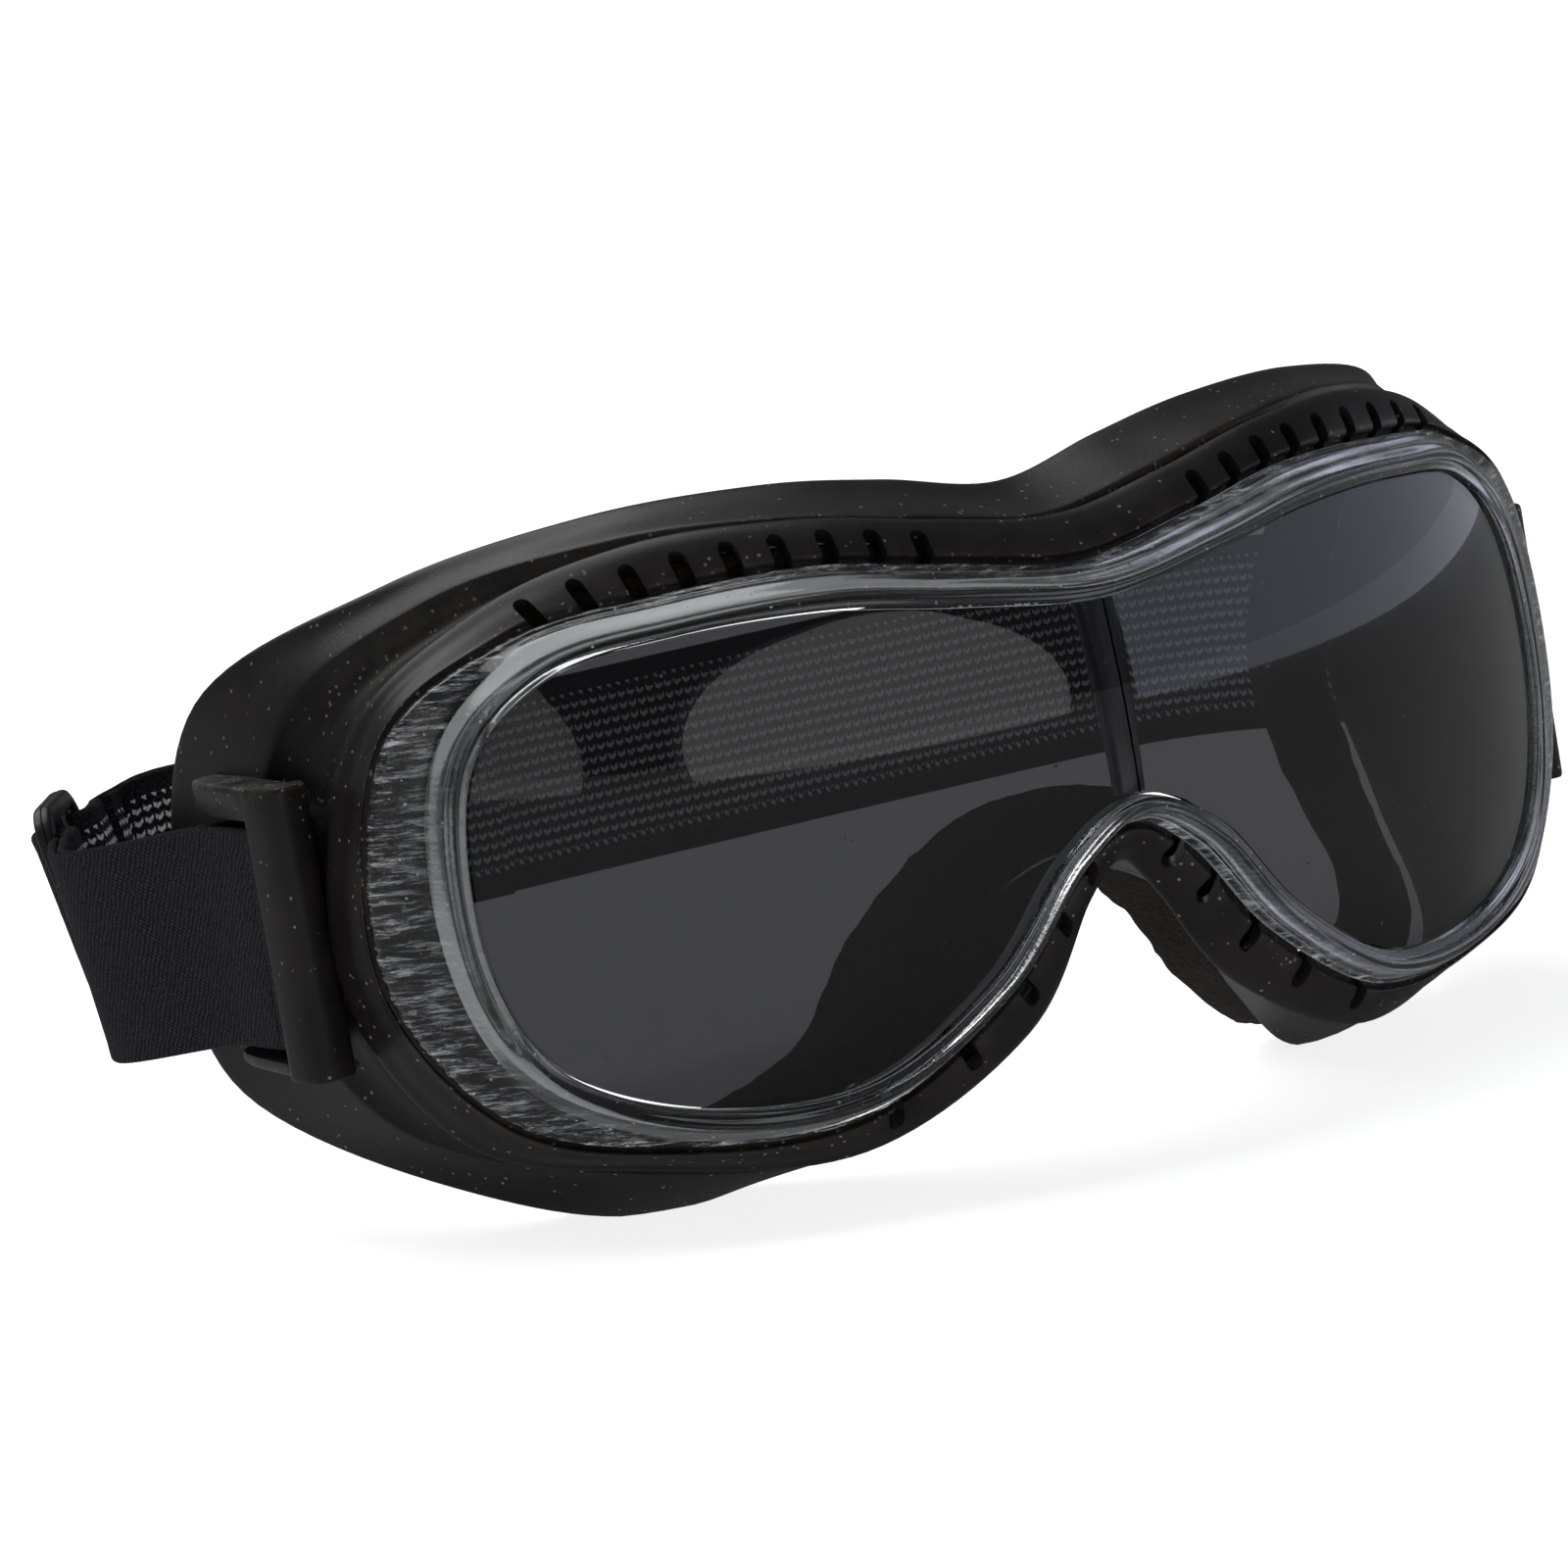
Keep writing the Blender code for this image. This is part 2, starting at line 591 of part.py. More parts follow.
def make_slider():
    """A three-bar slider: a rounded plate with two slots."""
    look = material("slider", (0.022, 0.022, 0.022), 0.35)
    d = unit(np.array(SLIDER_ALONG))
    t = unit(np.array(SLIDER_DOWN))
    n = unit(np.cross(d, t))
    corner = SLIDER_CORNER
    outline = []
    for i, j, first in ((1, 1, 0), (-1, 1, 90), (-1, -1, 180), (1, -1, 270)):
        for step in range(5):
            angle = math.radians(first + 22.5 * step)
            outline.append((i * (SLIDER_WIDTH / 2 - corner) + corner * math.cos(angle),
                            j * (SLIDER_LENGTH / 2 - corner) + corner * math.sin(angle)))
    lines = []
    for inset, level in ((0.5, -1.0), (0.0, -0.6), (0.0, 0.6), (0.5, 1.0)):
        scale = (1.0 - 2.0 * inset / SLIDER_WIDTH, 1.0 - 2.0 * inset / SLIDER_LENGTH)
        lines.append([np.array(SLIDER_CENTRE) + d * a * scale[0] + t * b * scale[1]
                      + n * level * SLIDER_THICKNESS / 2.0 for a, b in outline])
    count = len(outline)
    faces = lattice_faces(len(lines), count, False, True)
    faces.append(tuple(range(count)))
    faces.append(tuple(3 * count + i for i in reversed(range(count))))
    plate = add_object("strap_slider", np.vstack(lines), faces, look)
    slot = (SLIDER_WIDTH - 3.0 * SLIDER_BAR) / 2.0
    place = (SLIDER_BAR + slot) / 2.0
    room = (slot, SLIDER_SLOT_LENGTH, 3.0 * SLIDER_THICKNESS)
    slots = [box_at("slot", slider_point(side * place, 0.0), (d, t, n), room, look)
             for side in (-1.0, 1.0)]
    cut(plate, join_as_cutter("slot_cutter", slots))


def make_outrigger(side, sign):
    """A strap anchor on the side of the frame: a ramp with a pocket and an upright pin."""
    look = material("frame", (0.018, 0.018, 0.018), 0.55)
    steel = material("pin", (0.55, 0.55, 0.56), 0.3, 1.0)
    lines = [[(sign * x, y, z) for z in (OUTRIGGER_FOOT, OUTRIGGER_TOP)] for x, y in OUTRIGGER_SECTION]
    anchor = strip_solid(f"outrigger_{side}", lines, look)
    room = (POCKET_WIDTH, POCKET_DEPTH, STRAP_WIDTH + 2.0 * POCKET_SPARE)
    pocket = box_at("pocket", (sign * PIN_X, PIN_Y + POCKET_BACK, STRAP_Z), SQUARE, room, look)
    cut(anchor, join_as_cutter(f"pocket_cutter_{side}", [pocket]))
    top = STRAP_Z + STRAP_WIDTH / 2.0 + PIN_SPARE
    foot = STRAP_Z - STRAP_WIDTH / 2.0 - PIN_SPARE
    pin = []
    for i in range(PIN_FACETS):
        angle = sign * math.tau * i / PIN_FACETS
        x = PIN_X + PIN_RADIUS * math.cos(angle)
        pin.append([(sign * x, PIN_Y + PIN_RADIUS * math.sin(angle), z) for z in (foot, top)])
    strip_solid(f"strap_pin_{side}", pin, steel)


def clear_scene():
    for thing in list(bpy.data.objects):
        bpy.data.objects.remove(thing)


def main():
    clear_scene()
    outer = make_frame()
    make_vent_foams(outer)
    make_carrier()
    make_lenses()
    make_centre_post()
    make_face_foam()
    webbing = material("webbing", (0.02, 0.021, 0.025), 0.9)
    thread = material("thread", (0.05, 0.05, 0.055), 0.8)
    for side, sign in SIDES:
        make_outrigger(side, sign)
        make_strap_loop(side, sign, webbing)
    make_near_strap(webbing)
    make_slider()
    make_band(webbing, thread)


main()
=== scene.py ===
import math

import bmesh
import bpy
import numpy as np
from mathutils import Matrix, Vector, noise


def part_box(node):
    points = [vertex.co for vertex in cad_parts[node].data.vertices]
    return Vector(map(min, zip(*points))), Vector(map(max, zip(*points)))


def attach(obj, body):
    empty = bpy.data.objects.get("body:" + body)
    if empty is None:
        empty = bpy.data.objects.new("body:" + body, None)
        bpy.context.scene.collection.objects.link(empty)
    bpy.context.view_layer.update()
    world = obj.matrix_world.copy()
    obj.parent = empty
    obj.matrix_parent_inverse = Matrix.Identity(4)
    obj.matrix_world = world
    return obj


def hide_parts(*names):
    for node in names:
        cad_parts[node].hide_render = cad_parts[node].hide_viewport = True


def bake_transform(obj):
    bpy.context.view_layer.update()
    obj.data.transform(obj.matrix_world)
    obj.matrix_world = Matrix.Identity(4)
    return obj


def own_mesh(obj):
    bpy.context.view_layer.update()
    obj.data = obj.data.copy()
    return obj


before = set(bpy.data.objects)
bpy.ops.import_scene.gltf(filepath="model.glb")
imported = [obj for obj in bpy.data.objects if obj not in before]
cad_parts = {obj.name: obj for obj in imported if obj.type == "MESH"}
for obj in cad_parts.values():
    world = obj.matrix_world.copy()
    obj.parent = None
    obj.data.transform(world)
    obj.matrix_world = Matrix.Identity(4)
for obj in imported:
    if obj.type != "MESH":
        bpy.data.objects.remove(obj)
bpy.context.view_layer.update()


mm = 0.001
sides = (("right", -1.0), ("left", 1.0))

# Half outline of the lens opening, top centre round to the nose: arc length and height in mm.
opening = {
    "half": ((0.0, 20.1), (17.4, 22.3), (33.6, 24.8), (51.8, 24.9), (69.0, 22.1), (81.0, 11.4),
             (83.0, -8.8), (75.7, -24.2), (58.3, -32.1), (37.9, -32.6), (21.7, -22.9),
             (10.7, -9.9), (0.0, -4.5)),
    "radius": 106.7,      # the lens is part of an upright cylinder
    "bow": 0.004,         # and leans back a little at top and bottom
    "samples": 12,        # points between two stations
    "postFoot": -4.1,
}
stationCount = 2 * len(opening["half"]) - 2
# The middle of the lens front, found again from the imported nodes.
origin = np.array((0.0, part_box("lens_left")[0].y / mm,
                   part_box("centre_post")[0].z / mm - opening["postFoot"]))


# Curves
def closedOutline(half):
    half = np.array(half, float)
    mirrored = half[-2:0:-1] * ([-1.0] + [1.0] * (half.shape[1] - 1))
    return np.vstack([half, mirrored])


def bothSides(half):
    return np.array(list(half) + list(half[-2:0:-1]), float)


def smoothLoop(points):
    # closed Catmull-Rom curve through the stations
    points = np.asarray(points, float)
    before = np.roll(points, 1, axis=0)
    after = np.roll(points, -1, axis=0)
    beyond = np.roll(points, -2, axis=0)
    steps = np.arange(opening["samples"]) / opening["samples"]
    rows = []
    for i in range(len(points)):
        for s in steps:
            bend = 2.0 * before[i] - 5.0 * points[i] + 4.0 * after[i] - beyond[i]
            twist = 3.0 * points[i] - before[i] - 3.0 * after[i] + beyond[i]
            rows.append(0.5 * (2.0 * points[i] + (after[i] - before[i]) * s
                               + bend * s * s + twist * s ** 3))
    return np.array(rows)


def unit(vectors):
    return vectors / np.linalg.norm(vectors, axis=-1, keepdims=True)


def offsetOutline(distance):
    stations = closedOutline(opening["half"])
    tangent = unit(np.roll(stations, -1, axis=0) - np.roll(stations, 1, axis=0))
    outward = np.stack([-tangent[:, 1], tangent[:, 0]], axis=1)
    if np.ndim(distance):
        distance = bothSides(distance)[:, None]
    return stations + outward * distance


def onLens(flat, setback, bowHeight):
    angle = flat[:, 0] / opening["radius"]
    x = opening["radius"] * np.sin(angle)
    y = opening["radius"] * (1.0 - np.cos(angle)) + opening["bow"] * bowHeight ** 2 + setback
    return np.stack([x, y, flat[:, 1]], axis=1)


rimHeight = smoothLoop(closedOutline(opening["half"]))[:, 1]


def ringAt(distance, setback):
    flat = smoothLoop(offsetOutline(distance))
    if np.ndim(setback):
        setback = smoothLoop(bothSides(setback)[:, None])[:, 0]
    return onLens(flat, setback, rimHeight)


def table(half):
    # one value per station of the half outline, spread over the whole loop
    return smoothLoop(bothSides(half)[:, None])


def atStation(loop, station):
    place = station * opening["samples"] % len(loop)
    low = int(place)
    share = place - low
    return loop[low] * (1.0 - share) + loop[(low + 1) % len(loop)] * share


def eased(directions, times=30):
    for _ in range(times):
        directions = unit(directions + 0.5 * (np.roll(directions, 1, axis=0)
                                              + np.roll(directions, -1, axis=0)))
    return directions


def smoothPath(points, steps=24):
    points = np.array(points, float)
    padded = np.vstack([2 * points[0] - points[1], points, 2 * points[-1] - points[-2]])
    path = []
    for i in range(1, len(padded) - 2):
        a, b, c, d = padded[i - 1:i + 3]
        for step in range(steps):
            s = step / steps
            path.append(0.5 * (2 * b + (c - a) * s + (2 * a - 5 * b + 4 * c - d) * s * s
                               + (3 * b - a - 3 * c + d) * s ** 3))
    path.append(points[-1])
    return np.array(path)


def softRows(rows, times=2):
    # rounds a closed section: every pass halves the spacing and smooths the corners
    rows = np.array(rows, float)
    for _ in range(times):
        before = np.roll(rows, 1, axis=0)
        after = np.roll(rows, -1, axis=0)
        kept = before * 0.125 + rows * 0.75 + after * 0.125
        between = (rows + after) * 0.5
        rows = np.stack([kept, between], axis=1).reshape(-1, *rows.shape[1:])
    return rows


# Meshes
def place(points):
    return (np.asarray(points, float)[:, :3] + origin) * mm


def latticeFaces(rows, columns, rowsClosed, columnsClosed):
    faces = []
    for r in range(rows if rowsClosed else rows - 1):
        for c in range(columns if columnsClosed else columns - 1):
            r2 = (r + 1) % rows
            c2 = (c + 1) % columns
            faces.append((r * columns + c, r * columns + c2, r2 * columns + c2, r2 * columns + c))
    return faces


def makePiece(name, points, faces, looks, sharp=38.0):
    mesh = bpy.data.meshes.new(name)
    mesh.from_pydata([tuple(p) for p in place(points)], [], faces)
    points = np.asarray(points)
    if points.shape[1] > 3:
        layer = mesh.attributes.new("dust", "FLOAT", "POINT")
        layer.data.foreach_set("value", points[:, 3].astype(np.float32))
    shape = bmesh.new()
    shape.from_mesh(mesh)
    bmesh.ops.recalc_face_normals(shape, faces=shape.faces)
    shape.to_mesh(mesh)
    shape.free()
    for look in looks:
        mesh.materials.append(look)
    mesh.shade_smooth()
    mesh.set_sharp_from_angle(angle=math.radians(sharp))
    piece = bpy.data.objects.new(name, mesh)
    bpy.context.collection.objects.link(piece)
    return piece


def ringPiece(name, rows, looks, sharp=38.0):
    rows = np.array(rows, float)
    faces = latticeFaces(rows.shape[0], rows.shape[1], True, True)
    return makePiece(name, rows.reshape(-1, rows.shape[2]), faces, looks, sharp)


def stripPiece(name, rows, looks, sharp=38.0):
    rows = np.array(rows, float)
    count = rows.shape[1]
    faces = latticeFaces(rows.shape[0], count, True, False)
    faces.append(tuple(r * count for r in range(rows.shape[0])))
    faces.append(tuple(r * count + count - 1 for r in reversed(range(rows.shape[0]))))
    return makePiece(name, rows.reshape(-1, rows.shape[2]), faces, looks, sharp)


def applyModifiers(piece):
    bpy.context.view_layer.update()
    seen = piece.evaluated_get(bpy.context.evaluated_depsgraph_get())
    mesh = bpy.data.meshes.new_from_object(seen)
    piece.modifiers.clear()
    piece.data = mesh
    return piece


def cutAway(piece, cutter):
    boolean = piece.modifiers.new("cut", "BOOLEAN")
    boolean.operation = "DIFFERENCE"
    boolean.solver = "EXACT"
    boolean.object = cutter
    applyModifiers(piece)
    bpy.data.objects.remove(cutter)
    piece.data.set_sharp_from_angle(angle=math.radians(38.0))


def settle(piece, body, slot, *nodes):
    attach(piece, body)
    if nodes:
        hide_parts(*nodes)
    return piece


# Materials
def startLook(name, settings):
    look = bpy.data.materials.new(name)
    look.use_nodes = True
    tree = look.node_tree
    shader = tree.nodes["Principled BSDF"]
    for socket, value in settings.items():
        shader.inputs[socket].default_value = value
    return look, tree, shader


def feed(tree, target, value):
    if hasattr(value, "is_output"):
        tree.links.new(value, target)
    else:
        target.default_value = value


def calc(tree, operation, a, b=0.0, c=0.0):
    node = tree.nodes.new("ShaderNodeMath")
    node.operation = operation
    for target, value in zip(node.inputs, (a, b, c)):
        feed(tree, target, value)
    return node.outputs[0]


def spread(tree, value, low, high, outLow=0.0, outHigh=1.0):
    node = tree.nodes.new("ShaderNodeMapRange")
    feed(tree, node.inputs["Value"], value)
    node.inputs["From Min"].default_value = low
    node.inputs["From Max"].default_value = high
    node.inputs["To Min"].default_value = outLow
    node.inputs["To Max"].default_value = outHigh
    return node.outputs["Result"]


def grain(tree, scale, detail=3.0, roughness=0.55, where=None, stretch=None):
    source = where
    if source is None:
        source = tree.nodes.new("ShaderNodeTexCoord").outputs["Object"]
    if stretch is not None:
        mapping = tree.nodes.new("ShaderNodeMapping")
        tree.links.new(source, mapping.inputs["Vector"])
        mapping.inputs["Scale"].default_value = stretch[0]
        mapping.inputs["Rotation"].default_value = stretch[1]
        source = mapping.outputs["Vector"]
    node = tree.nodes.new("ShaderNodeTexNoise")
    tree.links.new(source, node.inputs["Vector"])
    node.inputs["Scale"].default_value = scale
    node.inputs["Detail"].default_value = detail
    node.inputs["Roughness"].default_value = roughness
    return node.outputs["Fac"]


def specks(tree, scale, size, where=None):
    # 1 in the middle of each small speck, 0 between them
    source = where or tree.nodes.new("ShaderNodeTexCoord").outputs["Object"]
    node = tree.nodes.new("ShaderNodeTexVoronoi")
    tree.links.new(source, node.inputs["Vector"])
    node.inputs["Scale"].default_value = scale
    node.inputs["Randomness"].default_value = 1.0
    near = spread(tree, node.outputs["Distance"], size, size * 0.4)
    chance = tree.nodes.new("ShaderNodeSeparateColor")
    tree.links.new(node.outputs["Color"], chance.inputs["Color"])
    return near, chance.outputs["Red"]


def mixed(tree, share, first, second):
    node = tree.nodes.new("ShaderNodeMix")
    node.data_type = "RGBA"
    feed(tree, node.inputs["Factor"], share)
    feed(tree, node.inputs["A"], first)
    feed(tree, node.inputs["B"], second)
    return node.outputs["Result"]


def addBump(tree, shader, height, strength, distance):
    node = tree.nodes.new("ShaderNodeBump")
    tree.links.new(height, node.inputs["Height"])
    node.inputs["Strength"].default_value = strength
    node.inputs["Distance"].default_value = distance
    tree.links.new(node.outputs["Normal"], shader.inputs["Normal"])


rubber = {
    "colour": (0.0072, 0.0062, 0.0066, 1.0),
    "worn": (0.014, 0.012, 0.0125, 1.0),
    "dust": (0.2, 0.165, 0.12, 1.0),
    "specular": 0.24,
    "roughness": 0.36,
    "speckScale": 1500.0,     # per metre
    "looseSpecks": 0.978,     # share of cells with no speck on open faces
}


def dustCover(tree, looseFrom):
    # specks everywhere, packed close where the piece's dust value is high
    settled = tree.nodes.new("ShaderNodeAttribute")
    settled.attribute_name = "dust"
    amount = settled.outputs["Fac"]
    cloud = grain(tree, 90.0, 4.0, 0.7)
    near, chance = specks(tree, rubber["speckScale"], 0.42)
    packed = calc(tree, "MULTIPLY", amount, spread(tree, cloud, 0.36, 0.62, 0.0, 0.62))
    threshold = calc(tree, "SUBTRACT", looseFrom, packed)
    present = calc(tree, "GREATER_THAN", chance, threshold)
    dots = calc(tree, "MULTIPLY", near, present)
    film = calc(tree, "MULTIPLY", amount, spread(tree, cloud, 0.4, 0.75, 0.0, 0.4))
    return calc(tree, "MINIMUM", calc(tree, "ADD", dots, film), 1.0)


def makeRubber():
    look, tree, shader = startLook("rubberFrame", {
        "Specular IOR Level": rubber["specular"]})
    cover = dustCover(tree, rubber["looseSpecks"])
    blotch = grain(tree, 45.0, 4.0)
    plain = mixed(tree, spread(tree, blotch, 0.35, 0.7), rubber["colour"], rubber["worn"])
    tree.links.new(mixed(tree, calc(tree, "MULTIPLY", cover, 0.8), plain, rubber["dust"]),
                   shader.inputs["Base Color"])
    rough = spread(tree, blotch, 0.3, 0.7, rubber["roughness"] - 0.06, rubber["roughness"] + 0.08)
    tree.links.new(calc(tree, "ADD", rough, calc(tree, "MULTIPLY", cover, 0.35)),
                   shader.inputs["Roughness"])
    fine = grain(tree, 2600.0, 2.0)
    height = calc(tree, "ADD", calc(tree, "MULTIPLY", fine, 0.5), cover)
    addBump(tree, shader, height, 0.35, 0.00012)
    return look


clearPlastic = {"colour": (0.6, 0.61, 0.64, 1.0), "haze": (0.82, 0.82, 0.84, 1.0),
                "roughness": 0.06, "ior": 1.5}


def makeClear():
    look, tree, shader = startLook("clearCarrier", {
        "Base Color": clearPlastic["colour"], "Transmission Weight": 1.0, "IOR": clearPlastic["ior"],
        "Specular IOR Level": 0.4})
    scratches = grain(tree, 60.0, 5.0, 0.8, None, ((1.0, 6.0, 14.0), (0.3, 0.5, 0.2)))
    hazy = grain(tree, 30.0, 3.0)
    near, chance = specks(tree, 1300.0, 0.3)
    dots = calc(tree, "MULTIPLY", near, calc(tree, "GREATER_THAN", chance, 0.965))
    rough = spread(tree, hazy, 0.4, 0.75, clearPlastic["roughness"], clearPlastic["roughness"] + 0.12)
    tree.links.new(calc(tree, "ADD", rough, calc(tree, "MULTIPLY", dots, 0.5)), shader.inputs["Roughness"])
    worn = tree.nodes.new("ShaderNodeAttribute")           # scuffed where the flange meets the frame
    worn.attribute_name = "dust"
    streaks = grain(tree, 55.0, 6.0, 0.85, None, ((3.0, 3.0, 26.0), (0.4, 0.2, 0.6)))
    scuffs = calc(tree, "MULTIPLY", worn.outputs["Fac"], spread(tree, streaks, 0.5, 0.68, 0.0, 0.75))
    scuffs = calc(tree, "MINIMUM", calc(tree, "ADD", scuffs, calc(tree, "MULTIPLY", dots, 0.4)), 1.0)
    tree.links.new(calc(tree, "SUBTRACT", 1.0, scuffs), shader.inputs["Transmission Weight"])
    tree.links.new(mixed(tree, scuffs, clearPlastic["colour"], clearPlastic["haze"]),
                   shader.inputs["Base Color"])
    height = calc(tree, "ADD", calc(tree, "MULTIPLY", scratches, 0.8), dots)
    addBump(tree, shader, height, 0.22, 0.00015)
    return look


# smoke tint of each lens: the grey is the lenses' own tint, and the right lens is made darker and bluer
# than the left as painted reflection, standing in for the bluish reflection on that lens
smokeLens = {"left": (0.16, 0.16, 0.166, 1.0), "right": (0.145, 0.146, 0.17, 1.0), "specular": 0.17}


def makeSmoke(side):
    look, tree, shader = startLook("smokeLens_" + side, {
        "Base Color": smokeLens[side], "Transmission Weight": 1.0, "IOR": 1.45,
        "Specular IOR Level": smokeLens["specular"]})
    near, chance = specks(tree, 420.0, 0.12)
    dots = calc(tree, "MULTIPLY", near, calc(tree, "GREATER_THAN", chance, 0.93))
    smear = grain(tree, 25.0, 5.0, 0.7, None, ((1.0, 1.0, 4.0), (0.0, 0.6, 0.0)))
    rough = spread(tree, smear, 0.45, 0.8, 0.0, 0.03)
    tree.links.new(calc(tree, "ADD", rough, calc(tree, "MULTIPLY", dots, 0.5)), shader.inputs["Roughness"])
    addBump(tree, shader, dots, 0.1, 0.0001)
    return look


padFoam = {"colour": (0.004, 0.003, 0.0027, 1.0), "fibre": (0.036, 0.027, 0.022, 1.0)}


def makeFoam(name, colours, scale):
    look, tree, shader = startLook(name, {
        "Roughness": 1.0, "Specular IOR Level": 0.1, "Sheen Weight": 0.08, "Sheen Roughness": 0.6,
        "Sheen Tint": (0.6, 0.5, 0.42, 1.0)})
    cells = tree.nodes.new("ShaderNodeTexVoronoi")
    tree.links.new(tree.nodes.new("ShaderNodeTexCoord").outputs["Object"], cells.inputs["Vector"])
    cells.inputs["Scale"].default_value = scale
    fuzz = grain(tree, scale * 1.6, 4.0, 0.8)
    lint = spread(tree, fuzz, 0.55, 0.8)
    tree.links.new(mixed(tree, lint, colours["colour"], colours["fibre"]), shader.inputs["Base Color"])
    height = calc(tree, "ADD", cells.outputs["Distance"], fuzz)
    addBump(tree, shader, height, 0.9, 0.0006)
    return look


# the film's own grey, and a darker colour that is painted shade for the hollows of its creases
filmBacking = {"colour": (0.50, 0.50, 0.49, 1.0), "creaseShade": (0.22, 0.215, 0.21, 1.0)}


def makeFilm():
    look, tree, shader = startLook("foamFilm", {"Alpha": 1.0, "Subsurface Weight": 0.0})
    creaseReliefAndShade = grain(tree, 420.0, 4.0, 0.75)
    # painted shade: the low parts of the crease relief are coloured darker, the same noise also makes the
    # bump
    tree.links.new(mixed(tree, spread(tree, creaseReliefAndShade, 0.4, 0.62),
                         filmBacking["creaseShade"], filmBacking["colour"]),
                   shader.inputs["Base Color"])
    tree.links.new(spread(tree, creaseReliefAndShade, 0.3, 0.7, 0.25, 0.6), shader.inputs["Roughness"])
    addBump(tree, shader, creaseReliefAndShade, 0.8, 0.0006)
    return look


webbing = {
    "width": 28.0,
    "thickness": 1.0,
    "yarn": (0.0035, 0.0035, 0.0055, 1.0),
    "highYarn": (0.036, 0.034, 0.046, 1.0),
    "dash": (0.62, 0.62, 0.64, 1.0),
    "rowPitch": 1.65,         # mm between rows of light dashes on the inner face
    "dashPitch": 1.45,
    "rowsHalfWidth": 11.4,    # plain border outside this
    "dotsFrom": 9.9,          # the end rows are dots
}


def strapPlace(tree):
    # millimetres along and across the strap, from its own flat layout
    node = tree.nodes.new("ShaderNodeUVMap")
    node.uv_map = "strapFlat"
    parts = tree.nodes.new("ShaderNodeSeparateXYZ")
    tree.links.new(node.outputs["UV"], parts.inputs["Vector"])
    return node.outputs["UV"], parts.outputs["X"], parts.outputs["Y"]


def ripple(tree, value, period):
    return calc(tree, "SINE", calc(tree, "MULTIPLY", value, 2.0 * math.pi / period))


def makeKnit():
    look, tree, shader = startLook("webbingOuter", {
        "Roughness": 0.92, "Specular IOR Level": 0.1, "Sheen Weight": 0.03, "Sheen Roughness": 0.45,
        "Sheen Tint": (0.75, 0.78, 0.95, 1.0)})
    flat, along, across = strapPlace(tree)
    uneven = grain(tree, 0.35, 3.0, 0.6, flat)
    wander = calc(tree, "MULTIPLY", uneven, 1.5)
    slant = calc(tree, "ADD", calc(tree, "ADD", along, calc(tree, "MULTIPLY", across, 0.55)), wander)
    ribs = calc(tree, "MULTIPLY", ripple(tree, slant, 0.95), ripple(tree, across, 0.8))
    fluff = grain(tree, 1.9, 4.0, 0.8, flat)
    height = calc(tree, "ADD", calc(tree, "MULTIPLY", ribs, 0.35), calc(tree, "MULTIPLY", fluff, 1.3))
    lit = spread(tree, height, 0.55, 1.1)
    tree.links.new(mixed(tree, lit, webbing["yarn"], webbing["highYarn"]), shader.inputs["Base Color"])
    addBump(tree, shader, height, 0.8, 0.00035)
    return look


def makeDashes():
    look, tree, shader = startLook("webbingInner", {
        "Roughness": 0.9, "Specular IOR Level": 0.1, "Sheen Weight": 0.02, "Sheen Roughness": 0.4})
    flat, along, across = strapPlace(tree)
    zigzag = calc(tree, "PINGPONG", along, webbing["dashPitch"] * 0.5)
    bent = calc(tree, "ADD", across, calc(tree, "MULTIPLY", zigzag, 0.75))
    row = calc(tree, "FRACT", calc(tree, "DIVIDE", calc(tree, "ADD", bent, 40.0), webbing["rowPitch"]))
    middle = calc(tree, "ABSOLUTE", calc(tree, "SUBTRACT", row, 0.5))
    thread = spread(tree, middle, 0.26, 0.14)
    stitch = calc(tree, "FRACT", calc(tree, "DIVIDE", calc(tree, "ADD", along, 60.0), webbing["dashPitch"]))
    side = calc(tree, "ABSOLUTE", across)
    inBorder = calc(tree, "GREATER_THAN", side, webbing["dotsFrom"])
    longDash = calc(tree, "LESS_THAN", stitch, 0.8)
    shortDash = calc(tree, "LESS_THAN", stitch, 0.42)
    span = calc(tree, "ADD", calc(tree, "MULTIPLY", longDash, calc(tree, "SUBTRACT", 1.0, inBorder)),
                calc(tree, "MULTIPLY", shortDash, inBorder))
    within = calc(tree, "LESS_THAN", side, webbing["rowsHalfWidth"])
    fluff = grain(tree, 2.6, 3.0, 0.7, flat)
    light = calc(tree, "MULTIPLY", calc(tree, "MULTIPLY", thread, span), within)
    light = calc(tree, "MULTIPLY", light, spread(tree, fluff, 0.25, 0.65, 0.35, 1.0))
    base = mixed(tree, spread(tree, fluff, 0.45, 0.8), webbing["yarn"], webbing["highYarn"])
    tree.links.new(mixed(tree, light, base, webbing["dash"]), shader.inputs["Base Color"])
    weave = calc(tree, "MULTIPLY", ripple(tree, along, 0.72),
                 ripple(tree, across, webbing["rowPitch"] * 0.5))
    height = calc(tree, "ADD", calc(tree, "ADD", light, fluff), calc(tree, "MULTIPLY", weave, 0.3))
    addBump(tree, shader, height, 0.7, 0.0003)
    return look


def makeThread():
    look, tree, shader = startLook("stitchThread", {"Roughness": 0.75, "Sheen Weight": 0.2})
    twist = grain(tree, 3000.0, 2.0)
    tree.links.new(mixed(tree, twist, (0.012, 0.012, 0.014, 1.0), (0.07, 0.07, 0.078, 1.0)),
                   shader.inputs["Base Color"])
    addBump(tree, shader, twist, 0.6, 0.0002)
    return look


